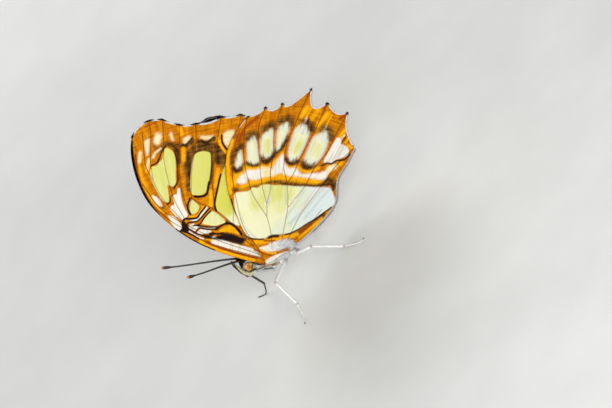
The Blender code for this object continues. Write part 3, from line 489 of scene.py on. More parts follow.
# %% Hindwing markings
HIND_MARKS = {
    PALE: [
        (0.25, 0, [(6.2, 16.4), (5.2, 15.7), (3.6, 13.9), (2.2, 11.4), (1.2, 9.4), (0.6, 7.4),
                   (0.9, 5.9), (1.9, 4.3), (3.2, 3.3), (4.6, 2.4), (6.0, 0.8), (7.6, -0.8),
                   (10.0, -2.0), (13.0, -3.3), (17.5, -4.6), (19.2, -4.8), (20.4, -3.0), (21.0, -1.4),
                   (20.0, 0.2), (19.2, 1.4), (18.2, 3.1), (17.0, 4.9), (16.0, 6.2), (15.1, 7.7),
                   (14.3, 8.9), (13.2, 10.3), (12.4, 11.8), (11.4, 12.8), (10.4, 13.2), (9.7, 14.3),
                   (8.8, 14.3), (7.6, 15.4)]),
        (0.5, 0, [(10.8, 20.2), (11.0, 21.0), (12.5, 22.2), (14.5, 22.7), (13.9, 21.6), (12.6, 20.3)]),
        (0.55, 0, [(13.4, 19.4), (14.3, 20.3), (16.3, 22.2), (17.5, 22.6), (18.9, 22.4), (18.6, 21.1),
                  (17.5, 19.7), (16.2, 18.1), (15.1, 16.9), (14.2, 17.4), (13.5, 18.6)]),
        (0.55, 0, [(16.5, 17.6), (18.3, 19.4), (19.4, 20.5), (21.0, 20.6), (22.9, 19.8), (22.0, 18.5),
                  (20.2, 16.9), (19.3, 15.9), (18.2, 15.5), (17.1, 16.0)]),
        (0.55, 0, [(19.6, 15.2), (21.3, 16.8), (23.3, 18.4), (24.5, 18.7), (25.8, 18.2), (26.2, 17.2),
                  (25.0, 16.1), (22.5, 15.3), (20.6, 14.9)]),
        (0.55, 0, [(19.8, 11.2), (21.2, 12.7), (23.2, 13.8), (25.7, 14.9), (27.4, 14.5), (28.3, 13.4),
                  (27.9, 12.0), (27.0, 11.1), (24.0, 10.1), (21.2, 9.5), (20.2, 10.1)]),
        (0.6, 0, [(22.2, 8.2), (24.6, 9.2), (27.2, 9.9), (28.9, 9.2), (30.3, 8.3), (29.8, 7.0),
                   (28.1, 5.8), (25.0, 5.15), (22.6, 5.5), (21.9, 6.8)]),
    ],
    WHITE: [
        (0.25, 0, [(24.6, 4.1), (27.5, 4.6), (30.8, 4.8), (31.0, 3.9), (30.4, 2.9), (30.6, 1.4),
                   (30.1, 0.2), (28.7, 0.2), (27.3, 1.5), (25.5, 2.5)]),
        (0.5, 0, [(8.4, 18.2), (10.6, 18.5), (11.2, 17.2), (9.9, 16.3), (8.9, 16.9)]),
        (0.5, 0, [(10.8, 17.8), (11.9, 18.2), (13.2, 16.6), (14.2, 15.5), (13.4, 13.9), (12.0, 14.4),
                  (10.9, 16.0)]),
        (0.5, 0, [(14.9, 12.0), (16.6, 13.4), (19.9, 13.4), (18.8, 11.5), (18.4, 9.8), (19.5, 8.5),
                   (19.3, 6.5), (20.8, 4.6), (22.2, 3.2), (23.4, 2.4), (23.0, 1.4), (21.6, 1.2),
                   (20.3, 3.3), (19.2, 5.1), (18.0, 7.2), (16.9, 9.0), (16.2, 11.0)]),
        (0.3, 0, [(0.2, 3.0), (2.0, 1.9), (3.8, 0.7), (5.2, -1.0), (5.2, -2.5), (4.0, -2.6),
                  (2.4, -0.9), (1.0, 0.6)]),
        (0.3, 0, [(-1.8, -0.4), (-0.8, -0.25), (0.4, -0.7), (1.6, -1.4), (2.6, -2.2), (4.0, -3.2),
                  (2.0, -2.9), (0.2, -2.2), (-1.2, -1.4)]),
        # painted highlights: these six thin white streaks lie along the ridges of the hindwing's folds
        (0.4, 0.3, [(20.6, 11.6), (22.4, 12.2), (25.6, 13.2), (28.0, 13.9), (29.6, 14.4)]),
        (0.4, 0.3, [(23.2, 7.4), (25.6, 7.9), (28.2, 8.4), (31.0, 8.9)]),
        (0.3, 0.5, [(6.2, 1.7), (7.6, 2.5), (9.2, 3.3)]),
        (0.4, 0.6, [(8.6, 8.9), (10.4, 8.9)]),
        (0.8, 0.5, [(11.0, 3.8), (14.8, 4.0)]),
        (0.9, 0.8, [(13.0, 1.0), (16.0, 0.9), (19.2, 1.1)]),
        (0.4, 0.6, [(0.8, 8.8), (0.9, 7.2), (1.4, 5.8)]),
    ],
    CREAM: [
        (0.5, 0, [(13.2, 15.6), (14.4, 15.8), (15.3, 14.6), (15.9, 13.4), (15.2, 11.8), (13.9, 12.8),
                  (12.9, 14.0)]),
        (0.5, 0, [(24.0, 2.6), (25.0, 2.2), (26.0, 1.2), (25.4, 0.6), (24.0, 1.2), (22.8, 1.6)]),
        (0.3, 0.4, [(30.8, 4.0), (32.3, 3.6)]),
        (0.5, 1.0, [(26.0, 14.4), (27.8, 14.2)]),
    ],
    # painted shade: grey lines laid along the folds of the pale field, where the skin also sinks
    FOLD_SHADE: [
        (0.7, 0.8, [(9.0, 0.9), (12.0, 0.4), (14.6, 0.1), (17.0, 0.1), (20.2, -0.2)]),
        (0.6, 0.6, [(12.0, -1.2), (15.0, -1.3), (17.8, -1.3), (20.9, -1.5)]),
        (0.6, 0.5, [(9.4, 2.6), (11.4, 2.9), (14.0, 3.1), (17.0, 3.3)]),
        (0.25, 0.3, [(1.5, 5.2), (1.6, 7.0), (1.9, 8.8)]),
        (0.3, 0.35, [(2.4, 9.6), (3.4, 12.0)]),
        (0.3, 0.3, [(9.2, 8.2), (11.0, 9.4), (12.6, 10.3)]),
        (0.3, 0.4, [(11.8, 4.6), (13.4, 6.2), (14.8, 7.2)]),
        (0.3, 0.3, [(27.0, 2.1), (30.0, 2.0)]),
        (0.3, 0.3, [(26.2, 12.7), (28.6, 13.3)]),
    ],
    ENDS: [
        (1.1, 0.9, [(12.0, 22.9), (14.6, 23.0), (15.0, 22.4)]),
        (1.1, 0.9, [(17.6, 22.9), (19.3, 22.5), (19.2, 21.2)]),
        (1.1, 0.9, [(21.6, 21.1), (23.4, 20.4), (23.2, 19.4)]),
        (1.1, 0.9, [(25.4, 19.0), (26.8, 18.0), (26.4, 16.9)]),
        (1.2, 1.0, [(28.6, 14.2), (29.0, 12.8), (28.6, 11.6)]),
        (1.3, 1.1, [(30.6, 8.8), (30.8, 7.6), (30.0, 6.4)]),
        (0.7, 0.5, [(10.6, 20.8), (10.9, 20.1), (11.8, 19.8)]),
        (0.7, 0.5, [(13.3, 19.2), (13.8, 17.9), (14.8, 16.9)]),
        (0.7, 0.6, [(16.3, 17.2), (16.8, 16.0), (18.0, 15.4), (19.2, 15.8)]),
        (0.7, 0.5, [(19.8, 15.1), (21.6, 15.1), (23.6, 15.5)]),
        (0.7, 0.5, [(19.8, 11.6), (19.9, 10.4), (21.0, 9.6)]),
        (0.7, 0.6, [(22.0, 7.8), (21.9, 6.6), (22.8, 5.6)]),
    ],
    BLACK: [
        (0.5, 0.3, [(14.7, 8.6), (15.9, 6.7), (17.0, 5.0), (18.3, 3.3), (19.5, 1.7)]),
        (0.5, 0.7, [(19.6, 1.6), (20.8, 0.2), (21.8, -1.0), (21.2, -2.3)]),
        (0.15, 0.35, [(1.0, 9.6), (2.2, 12.0), (3.4, 14.2), (4.7, 16.2)]),
        (0.2, 0.35, [(0.4, 8.0), (0.5, 6.4), (1.4, 4.9), (2.4, 3.7)]),
        (0.3, 0.7, [(3.4, 2.9), (4.2, 2.4), (5.0, 1.4)]),
        (0.15, 0.35, [(6.4, 0.1), (7.4, -0.8), (9.2, -1.7), (11.4, -2.6), (13.4, -3.5), (15.6, -4.2),
                      (17.8, -4.8)]),
        (0.6, 0.8, [(10.3, 20.9), (10.2, 20.0), (11.3, 19.4)]),
        (0.6, 0.4, [(13.1, 19.2), (13.5, 17.8), (14.4, 16.8)]),
        (0.6, 0.6, [(15.8, 16.6), (16.0, 15.5), (17.4, 15.0), (19.3, 15.2)]),
        (0.55, 0.5, [(19.3, 14.9), (20.8, 14.5), (23.0, 14.9)]),
        (0.55, 0.5, [(19.5, 12.0), (19.2, 10.8), (19.9, 9.6), (21.0, 9.2)]),
        (0.6, 0.7, [(21.0, 7.7), (20.9, 6.6), (21.7, 5.6)]),
        (0.2, 0.4, [(23.6, 4.0), (24.9, 3.3), (25.4, 2.3), (26.6, 1.8), (27.9, 0.2), (29.8, -0.4)]),
        (0.25, 0.35, [(28.8, 13.3), (29.9, 13.7)]),
        (0.2, 0.25, [(30.4, 3.15), (32.2, 3.1)]),
    ],
    BROWN: [
        (1.0, 1.6, [(11.2, 22.2), (13.4, 23.3), (15.4, 23.0)]),
        (1.0, 1.7, [(17.8, 23.1), (19.3, 22.6), (19.3, 21.4)]),
        (1.0, 1.7, [(21.6, 21.2), (23.5, 20.6), (23.4, 19.4)]),
        (1.0, 1.7, [(25.4, 19.2), (27.0, 18.0), (26.6, 16.8)]),
        (1.1, 1.8, [(28.4, 14.4), (28.9, 12.8), (28.4, 11.4)]),
        (1.1, 1.9, [(30.2, 9.2), (30.8, 7.8), (30.0, 6.2)]),
        (0.8, 1.0, [(10.6, 21.2), (10.6, 20.0), (12.0, 19.6)]),
        (0.8, 1.0, [(13.3, 19.0), (13.8, 17.6), (14.8, 16.8)]),
        (0.8, 1.2, [(16.0, 17.0), (16.6, 15.6), (18.0, 15.1), (19.2, 15.6), (21.4, 14.9),
                    (23.4, 15.2)]),
        (0.8, 1.1, [(19.7, 11.8), (19.6, 10.4), (20.8, 9.4)]),
        (0.8, 1.3, [(21.6, 8.0), (21.5, 6.6), (22.6, 5.4)]),
        (0.5, 0.9, [(6.4, 17.3), (9.5, 15.1), (12.7, 12.2), (14.9, 9.2), (17.3, 5.4), (19.5, 2.2)]),
        (0.6, 1.4, [(21.0, 1.2), (22.6, -0.4), (22.2, -1.8)]),
        (0.5, 0.9, [(8.0, -2.2), (11.6, -3.2), (15.4, -4.4)]),
    ],
    AMBER: [
        (0.3, 0.9, [(5.6, 17.4), (6.8, 18.9), (8.4, 20.8), (10.2, 22.8), (12.6, 24.6), (15.0, 25.6)]),
        (0.6, 1.6, [(7.6, 18.6), (9.4, 18.9)]),
        (0.8, 1.4, [(8.4, 16.4), (10.6, 15.2), (11.7, 14.0), (13.0, 13.0), (14.6, 11.9), (15.7, 10.4),
                    (16.6, 8.5), (17.7, 6.5), (18.9, 4.5), (20.6, 1.8)]),
        (0.7, 1.2, [(8.2, 19.0), (10.0, 19.0), (12.2, 18.6), (13.4, 16.8)]),
        (0.6, 1.8, [(13.0, 13.8), (14.8, 14.4)]),
        (0.5, 0.8, [(12.6, 18.8), (13.4, 16.6), (14.6, 15.8), (15.4, 14.4), (17.4, 13.8),
                    (20.0, 13.6)]),
        (0.4, 0.6, [(18.5, 10.6), (18.7, 9.4), (19.8, 8.4), (20.0, 6.6), (21.2, 5.0), (22.8, 4.2)]),
        (0.4, 1.5, [(23.9, 1.9), (25.0, 1.4)]),
        (0.4, 0.7, [(25.6, 1.0), (27.0, 0.2)]),
        (0.2, 0.35, [(29.6, 14.4), (32.0, 14.9)]),
        (0.2, 0.35, [(31.2, 9.0), (34.0, 9.5)]),
        (0.6, 1.2, [(29.4, 15.6), (31.6, 15.8)]),
        (0.6, 1.1, [(30.6, 13.0), (33.4, 13.2)]),
        (0.6, 1.0, [(30.2, 10.7), (33.6, 10.6)]),
        (0.5, 0.9, [(31.6, 4.4), (33.2, 4.3)]),
        (0.3, 0.6, [(31.2, 2.4), (32.2, 2.4)]),
        (0.4, 0.7, [(30.9, 1.4), (31.2, 0.2)]),
        (0.3, 0.45, [(0.0, 2.7), (0.4, 1.2), (1.1, -0.2), (1.8, -1.0)]),
        (0.4, 0.9, [(0.8, 4.6), (2.2, 3.0), (4.4, 1.0), (6.2, -0.8), (8.2, -2.4)]),
        (0.5, 0.7, [(8.0, -3.2), (11.0, -4.0), (14.4, -4.8)]),
    ],
    RUSSET: [
        (0.3, 0.4, [(2.2, 3.3), (3.0, 2.2), (3.8, 1.2)]),
        (0.3, 0.4, [(-0.5, 3.2), (-0.1, 1.4), (1.0, -1.0), (2.2, -1.5)]),
        (0.5, 0.8, [(16.0, 24.2), (19.0, 25.0), (23.0, 24.6)]),
        (0.5, 0.9, [(9.0, -2.6), (12.0, -3.5)]),
        (0.5, 0.9, [(34.4, 17.6), (35.6, 17.9)]),
        (0.5, 0.9, [(34.6, 7.2), (36.6, 6.7)]),
        (0.4, 0.6, [(34.0, 12.3), (35.2, 12.4)]),
    ],
}
print("hindwing marks:", sum(map(len, HIND_MARKS.values())))

# %% [markdown]
# ## From drawn marks to numbers on the mesh
# A drawn mark becomes a number at every point of the wing: 0 on its outline, and
# 1 more for each soft edge's width further in, as far as 3 either way. A material
# can then roughen the marks and lay them over each other, with no painted picture.

# %% Depth in the markings
CURVE_STEP = 0.4  # mm
DEEPEST = 3.0  # soft edges


def depth_in(points, marks):
    """How deep each point lies in the nearest mark, counted in its soft edges."""
    best = np.full(len(points), -DEEPEST)
    for soft, width, knots in marks:
        line = smooth_through(knots, CURVE_STEP, closed=width == 0)
        if width == 0:
            distance = nearest(points, np.concatenate([line, line[:1]]))
            inward = np.where(inside(points, line), distance, -distance)
        else:
            inward = width / 2 - nearest(points, line)
        best = np.maximum(best, np.clip(inward / soft, -DEEPEST, DEEPEST))
    return best


def inward_line(edge, inset, low, high):
    """A line that follows an edge at a set distance to its right, between two heights."""
    slope = np.gradient(edge, axis=0)
    slope /= np.linalg.norm(slope, axis=1)[:, None]
    line = edge + inset * np.stack([slope[:, 1], -slope[:, 0]], axis=1)
    return respaced(line[(line[:, 1] > low) & (line[:, 1] < high)], 2.0)


for kind, soft, width, inset, low, high in FORE_COSTA_LINES:
    FORE_MARKS[kind].append((soft, width, inward_line(fore_costa, inset, low, high)))
print("lines along the front edge:", len(FORE_COSTA_LINES))

# %% [markdown]
# The pale patches aren't all one green: they turn from yellow-green between the
# veins to cream near the front and bluish white near the body. A few spots with a
# shade number each, averaged by nearness, give that slow change.

# %% Shades of the pale patches
FORE_SHADES = [
    # back, up, shade: 0 vivid yellow-green, 0.3 yellow-green, 0.6 cream, 1 bluish white
    (3.0, 17.0, 0.03), (0.0, 34.0, 0.3), (5.0, 27.0, 0.22), (-2.4, 23.0, 0.35), (-2.0, 16.8, 0.45),
    (6.0, 22.0, 0.1), (1.0, 11.5, 0.6),
]
HIND_SHADES = [
    (1.0, 8.0, 0.62), (4.5, 9.0, 0.56), (8.2, 10.5, 0.32), (6.0, 14.6, 0.62), (9.4, 12.8, 0.42),
    (12.0, 8.4, 0.3), (13.8, 5.2, 0.36), (8.0, 6.0, 0.54), (10.0, 5.4, 0.42), (7.9, 3.3, 0.7),
    (6.0, 2.6, 0.85), (5.0, 5.0, 0.62), (2.6, 6.0, 0.62), (11.0, 1.2, 0.95), (15.0, 2.6, 0.85),
    (15.0, -2.6, 1.0), (19.0, 0.0, 1.0), (12.4, 21.3, 0.62), (15.6, 19.6, 0.64),
    (18.4, 17.4, 0.34), (19.4, 18.4, 0.3), (21.6, 19.6, 0.7), (22.4, 16.8, 0.5),
    (25.2, 17.6, 0.9), (22.2, 11.4, 0.36), (23.8, 12.1, 0.28), (25.4, 12.6, 0.45),
    (27.0, 13.0, 0.9), (24.6, 7.3, 0.42), (26.2, 7.8, 0.38), (29.0, 7.4, 0.95),
    (22.4, 6.6, 0.9), (20.6, 10.6, 0.8),
]
SPOT_REACH = 1.3  # mm within which a spot's shade holds
SPOT_FALL = 5  # how quickly it gives way to its neighbours beyond that


def shade_at(points, spots):
    """The spots' shades averaged by how near each spot is."""
    total = np.zeros(len(points))
    weights = np.zeros(len(points))
    for back, up, shade in spots:
        distance = np.hypot(points[:, 0] - back, points[:, 1] - up)
        weight = 1 / (SPOT_REACH + distance) ** SPOT_FALL
        total += weight * shade
        weights += weight
    return total / weights


print("shade spots:", len(FORE_SHADES), len(HIND_SHADES))

# %% [markdown]
# ## The wing sheet
# A real wing is about a tenth of a millimetre thick with its scales on, and so is
# this sheet. Its net of small triangles has extra rows of points along each vein
# and each thin streak, so that the veins stand up as rounded ridges and a line
# thinner than the net still shows.

# %% Rows of points
NET_STEP = 0.27  # mm, as all lengths here
ROW_HEIGHT = 0.87  # of the step, so that the triangles are even
CLOSEST = 0.09
RIM_GAP = 0.12
VEIN_HALF_WIDTH = 0.2
THIN_STREAK = 0.55


def rows_along(line, reach):
    """A row of points on a line and one on each side of it."""
    slope = np.gradient(line, axis=0)
    across = np.stack([-slope[:, 1], slope[:, 0]], axis=1)
    across /= np.linalg.norm(across, axis=1)[:, None]
    return [line, line - reach * across, line + reach * across]


def thinned(points, gap):
    """Leaves out each point that has an earlier one nearer than the gap."""
    tree = kdtree.KDTree(len(points))
    for number, point in enumerate(points):
        tree.insert((*point, 0), number)
    tree.balance()
    keep = np.ones(len(points), bool)
    for number, point in enumerate(points):
        if keep[number]:
            for _, other, _ in tree.find_range((*point, 0), gap):
                keep[other] &= other <= number
    return points[keep]


print("rows for a vein:", len(rows_along(np.array([(0.0, 0.0), (1.0, 1.0)]), VEIN_HALF_WIDTH)))

# %% [markdown]
# The outline, the rows and an even grid of points go to a function that joins them
# with triangles and keeps to the outline.

# %% Net of a wing
def wing_net(outline, veins, marks):
    """Triangles that fill the outline, with rows of points along the veins and thin streaks."""
    loop = np.concatenate([outline, outline[:1]])
    lines = [respaced(smooth_through(knots, 0.5), 0.3) for knots in veins.values()]
    thin = [(respaced(smooth_through(knots, 0.4), 0.22), width / 2 + 0.05)
            for rows in marks.values() for _, width, knots in rows if 0 < width <= THIN_STREAK]
    drawn = thin + [(line, VEIN_HALF_WIDTH) for line in lines]
    rows = [rows_along(line, reach) for line, reach in drawn]
    fine = np.concatenate([row[0] for row in rows] + [side for row in rows for side in row[1:]])
    fine = fine[inside(fine, outline) & (nearest(fine, loop) > RIM_GAP)]
    low, high = outline.min(0), outline.max(0)
    levels = np.arange(low[1], high[1], NET_STEP * ROW_HEIGHT)
    columns = np.arange(low[0], high[0], NET_STEP)
    grid = np.array([(x + NET_STEP / 2 * (i % 2), y) for i, y in enumerate(levels) for x in columns])
    grid = grid[inside(grid, outline)]
    grid = grid[nearest(grid, loop) > 0.6 * NET_STEP]
    for line, reach in drawn:
        grid = grid[nearest(grid, line) > reach + 0.4 * NET_STEP]
    points = np.concatenate([outline, thinned(fine, CLOSEST), grid])
    flat, _, faces, *_ = delaunay_2d_cdt(
        [Vector(p) for p in points], [], [list(range(len(outline)))], 1, 1e-5
    )
    return np.array([tuple(p) for p in flat]), [tuple(face) for face in faces], lines


print("step of the net in mm:", NET_STEP)

# %% [markdown]
# The net is flat, and a wing isn't: near the body it swings out round the breast
# and the abdomen, and its rear part leans in on its neighbour. Beside the marks,
# the plan keeps how far each point lies from a vein, the rim and a vein's end.

# %% The plan of a wing
BLOOM_FROM = 0.5  # mm; a patch with an edge this soft has a pale bloom round it
SHORTEST_ARM = 16  # mm
FORE_HUB, HIND_HUB = (-25, -8), (2.5, 0.5)  # what the cross streaks run round


def smooth(value):
    """A step from 0 to 1 with soft ends."""
    value = np.clip(value, 0, 1)
    return value * value * (3 - 2 * value)


def forewing_distance(back, up):
    """How far the forewing lies from the body's middle plane; its rear part leans in."""
    return 1.3 + 0.8 * np.exp(-((up / 4.0) ** 2)) - 0.75 * smooth((back - 8) / 14)


def hindwing_distance(back, up):
    """The hindwing passes outside the abdomen and the forewing, and closes behind both."""
    flare = 0.8 * np.exp(-((up / 6.0) ** 2)) * smooth((23.5 - back) / 23.5)
    lean = 0.75 * smooth((up - 2) / 6) * smooth((back - 8) / 14)
    beside = 2.35 + flare - lean
    return beside + (0.65 - beside) * smooth((back - 23.5) / 10)


def wing_plan(outline, margin, veins, marks, shades, hub, tips):
    """Everything that the left and the right wing of a pair share."""
    flat, faces, lines = wing_net(outline, veins, marks)
    fields = {kind: depth_in(flat, rows) for kind, rows in marks.items()}
    fields["vein"] = np.min([nearest(flat, line) for line in lines], axis=0)
    fields["rim"] = nearest(flat, margin)
    fields["tip"] = np.min([np.hypot(*(flat - tip).T) for tip in tips], axis=0)
    fields["shade"] = shade_at(flat, shades)
    soft_patches = depth_in(flat, [row for row in marks[PALE] if row[0] >= BLOOM_FROM])
    fields["bloom"] = np.where(soft_patches > -2.5, 1 - smooth((soft_patches - 0.3) / 2.3), 0)
    reach = flat - np.array(hub)
    radius = np.hypot(*reach.T)
    sweep = np.arctan2(reach[:, 0], reach[:, 1]) * max(np.hypot(*hub), SHORTEST_ARM)
    print("wing net:", len(flat), "points,", len(faces), "triangles")
    return {"flat": flat, "faces": faces, "fields": fields, "polar": (radius, sweep),
            "outline": outline}


fore_tips = [tip for tip, _ in FORE_MARGIN] + [FORE_TORNUS]
hind_tips = [tip for tip, _ in HIND_MARGIN] + [HIND_LOBE]
fore_plan = wing_plan(
    fore_outline, fore_margin, FORE_VEINS, FORE_MARKS, FORE_SHADES, FORE_HUB, fore_tips
)
hind_plan = wing_plan(
    hind_outline, hind_margin, HIND_VEINS, HIND_MARKS, HIND_SHADES, HIND_HUB, hind_tips
)

# %% [markdown]
# ## The scales
# Each scale is one flat, ribbed flake of one colour, laid like roof tiles, which
# is why every marking has a slightly ragged edge. The material lays the marks in
# order over an orange-brown ground: shadows, amber, red-brown, pale patches,
# whites, some of them painted highlights on the fold ridges, then painted shade in
# the folds, veins and last the black lines. The inner faces carry the upper side's
# pattern, the same pale windows in black-brown.

# %% Grain of the wing
SCALE_PITCH = 0.22  # mm; real scales are half as long, too fine to show
STREAK_PITCH = 0.45  # mm between the fine cross streaks of the brown areas
FIELDS = (PALE, WHITE, CREAM, FOLD_SHADE, BLACK, BROWN, AMBER, RUSSET, ENDS,
          "vein", "rim", "tip", "shade", "bloom", "upper")


def wing_grain(tree):
    """Cross streaks, and painted light and shade of folds along the wing, both round its hub."""
    polar = add(tree, "Attribute", {}, "Vector", attribute_name="polar")
    streaks = add(tree, "VectorMath", {0: polar, 1: (1 / STREAK_PITCH, 0.4, 1)}, operation="MULTIPLY")
    cross = add(tree, "TexNoise", {"Vector": streaks, "Scale": 1.0, "Detail": 3.0})
    # the folds aren't in the relief; this noise paints their light and shade into the colours
    folds = add(tree, "VectorMath", {0: polar, 1: (0.12, 1.8, 1)}, operation="MULTIPLY")
    along = add(tree, "TexNoise", {"Vector": folds, "Scale": 1.0, "Detail": 2.0})
    return cross, along


print("numbers that the material reads:", len(FIELDS))

# %% [markdown]
# On the under side each colour lightens and darkens with the streaks, and with
# painted light and shade along the folds. The pale patches take their green from
# the shade number, with a bloom at soft edges.

# %% Under side
PALE_STOPS = [
    (0.0, "#CFCB4E"), (0.3, "#D2D072"), (0.6, "#E8E5BC"), (0.78, "#D6DCB8"), (1.0, "#D6DFDE"),
]


def pale_green(tree, depth, along):
    bent = add(tree, "MapRange", {0: along, 1: 0.4, 2: 0.62, 3: 0.05, 4: -0.05})
    shade = add(tree, "Math", {0: depth["shade"], 1: bent})
    green = add(tree, "ValToRGB", {0: shade}, stops=PALE_STOPS)
    return layered(tree, green, [(depth["bloom"], colour("#D6D6BE"))])


def vein_lines(tree, depth, open_skin):
    """How much of a vein shows, and its colour, which pales on the open skin."""
    vein = add(tree, "MapRange", {0: depth["vein"], 1: 0.04, 2: 0.17, 3: 0.92, 4: 0.0},
               interpolation_type="SMOOTHSTEP")
    return vein, layered(tree, colour("#7A3A04"), [(open_skin, colour("#9C9272"))])


def under_side(tree, depth, mark, cross, along):
    """The marks laid in order over orange-brown, as they show with the wings shut."""
    grain = add(tree, "Math", {0: cross, 1: along})
    grain = add(tree, "MapRange", {0: grain, 1: 0.72, 2: 1.3})
    ground = add(tree, "ValToRGB", {0: grain},
                 stops=[(0.0, "#9C5200"), (0.45, "#C07000"), (1.0, "#DC9002")])
    brown = add(tree, "ValToRGB", {0: grain},
                stops=[(0.1, "#301C06"), (0.5, "#5A3A12"), (0.9, "#8C5E20")])
    amber = add(tree, "ValToRGB", {0: grain}, stops=[(0.0, "#E49404"), (1.0, "#F8B80C")])
    cream = add(tree, "ValToRGB", {0: cross}, stops=[(0.3, "#E2C67C"), (0.65, "#EEE3C0")])
    # white scales, and also the colour of the thin painted highlights on the hindwing's fold ridges
    light = add(tree, "ValToRGB", {0: along}, stops=[(0.36, "#CEC5B2"), (0.5, "#E9E3D6")])
    black = add(tree, "ValToRGB", {0: cross}, stops=[(0.3, "#120A0C"), (0.75, "#2E1A10")])
    pale, white = mark(PALE), mark(WHITE)
    open_skin = add(tree, "Math", {0: pale, 1: white}, operation="MAXIMUM")
    # the soft brown at the ends of the patches is broken up by the folds
    broken = add(tree, "MapRange", {0: along, 1: 0.35, 2: 0.65, 3: -0.9, 4: 0.9})
    ends = add(tree, "Math", {0: depth[ENDS], 1: broken})
    ends = add(tree, "MapRange", {0: ends, 1: -0.5, 2: 1.0, 4: 0.85},
               interpolation_type="SMOOTHSTEP")
    # painted shade in the folds: a blue-grey laid over the pale field along the fold lines
    grey = add(tree, "MapRange", {0: depth[FOLD_SHADE], 1: -0.8, 2: 1.0, 4: 0.6},
               interpolation_type="SMOOTHSTEP")
    return layered(tree, ground, [
        (mark(BROWN), brown), (mark(AMBER), amber), (mark(RUSSET), colour("#964002")),
        (mark(CREAM), cream), (pale, pale_green(tree, depth, along)), (white, light),
        (ends, brown), (grey, colour("#AEB6B4")), vein_lines(tree, depth, open_skin),
        (mark(BLACK), black),
    ])


print("greens of the pale patches:", len(PALE_STOPS))

# %% [markdown]
# The inner faces are black-brown with green windows where the pale patches are. A
# dark hem runs round the edge of both faces, white in the hollows.

# %% Inner faces and hem
HEM_WHITE = (0.5, 1.0)


def inner_faces(tree, mark, cross):
    window = add(tree, "ValToRGB", {0: cross}, stops=[(0.3, "#86B06A"), (0.75, "#B4CF8E")])
    dark = add(tree, "ValToRGB", {0: cross}, stops=[(0.3, "#120B08"), (0.75, "#2C1A10")])
    return layered(tree, dark, [(mark(PALE, -0.4, 0.6), window)])


def hem(tree, depth, jitter):
    """How much of the hem shows, and its colour."""
    rim = add(tree, "Math", {0: jitter, 1: 0.2, 2: depth["rim"]}, operation="MULTIPLY_ADD")
    edging = add(tree, "MapRange", {0: rim, 1: 0.06, 2: 0.2, 3: 1.0, 4: 0.0})
    hollow_part = add(tree, "MapRange", {0: depth["tip"], 1: HEM_WHITE[0], 2: HEM_WHITE[1]})
    return edging, layered(tree, colour("#21150F"), [(hollow_part, colour("#E4E2DE"))])


print("the hem turns white from", HEM_WHITE[0], "to", HEM_WHITE[1], "mm beside a vein's end")

# %% [markdown]
# Last, one material joins both sides of the wing. A relief as fine as the scales
# breaks up the gleam, as the tiled scales do.

# %% Wing scale material
def scale_material():
    """Matt overlapping scales; what the eye gets is soft colour with a faint grain."""
    material, tree, shader = new_material("wing_scales_overlapping", 0.6, Specular_IOR_Level=0.06)
    depth = {kind: add(tree, "Attribute", {}, "Fac", attribute_name=kind) for kind in FIELDS}
    wing = add(tree, "Attribute", {}, "Vector", attribute_name="wing")
    ragged = add(tree, "TexNoise", {"Vector": wing, "Scale": 1 / SCALE_PITCH, "Detail": 1.0})
    jitter = add(tree, "MapRange", {0: ragged, 1: 0.25, 2: 0.75, 3: -0.35, 4: 0.35})

    def mark(kind, low=-0.8, high=0.8):
        """How much of a mark's colour shows, with an edge made ragged by the scales."""
        rough = add(tree, "Math", {0: depth[kind], 1: jitter})
        return add(tree, "MapRange", {0: rough, 1: low, 2: high}, interpolation_type="SMOOTHSTEP")

    cross, along = wing_grain(tree)
    under = under_side(tree, depth, mark, cross, along)
    upper = inner_faces(tree, mark, cross)
    skin = layered(tree, under, [(depth["upper"], upper), hem(tree, depth, jitter)])
    tree.links.new(skin, shader.inputs["Base Color"])
    tiles = add(tree, "TexVoronoi", {"Vector": wing, "Scale": 1 / SCALE_PITCH})
    height = add(tree, "Math", {0: cross, 1: 2.0, 2: tiles}, operation="MULTIPLY_ADD")
    bump = add(tree, "Bump", {"Height": height, "Strength": 0.35, "Distance": 0.00006})
    tree.links.new(bump, shader.inputs["Normal"])
    sheen = add(tree, "MapRange", {0: ragged, 1: 0.3, 2: 0.7, 3: 0.52, 4: 0.7})
    tree.links.new(sheen, shader.inputs["Roughness"])
    return material


scales = scale_material()
print("nodes in the scale material:", len(scales.node_tree.nodes))

# %% [markdown]
# ## Making the four wings
# The left and right wing of a pair share one net. Each point is set out from the
# body's middle plane by the wing's distance, and the second face lies a sheet's
# thickness behind the first. The far wings are held a little lower, so that only
# a dark sliver of them shows past the near ones, and the skin sinks in the folds.

# %% Putting a piece in the scene
SIDES = {"left": -1, "right": 1}


def set_numbers(mesh, name, values, kind="FLOAT"):
    """One number, or one vector, for every point of a mesh, which a material can read."""
    layer = mesh.attributes.new(name, kind, "POINT")
    field = "value" if kind == "FLOAT" else "vector"
    layer.data.foreach_set(field, np.ascontiguousarray(values, np.float32).ravel())


def dress(name, mesh, material, slot, *replaced):
    """Puts a finished mesh in the scene, on the body, in place of the named solids."""
    obj = bpy.data.objects.new(name, mesh)
    bpy.context.scene.collection.objects.link(obj)
    mesh.materials.append(material)
    mesh.polygons.foreach_set("use_smooth", [True] * len(mesh.polygons))
    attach(obj, "root")
    if replaced:
        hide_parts(*replaced)


print("sides:", list(SIDES))

# %% [markdown]
# Both wings of a pair take their place from the same formulas. Only the far ones
# are moved within their own plane first.

# %% How the wings are held
FORE_HINGE, HIND_HINGE = 12.85, 13.5  # mm above the floor


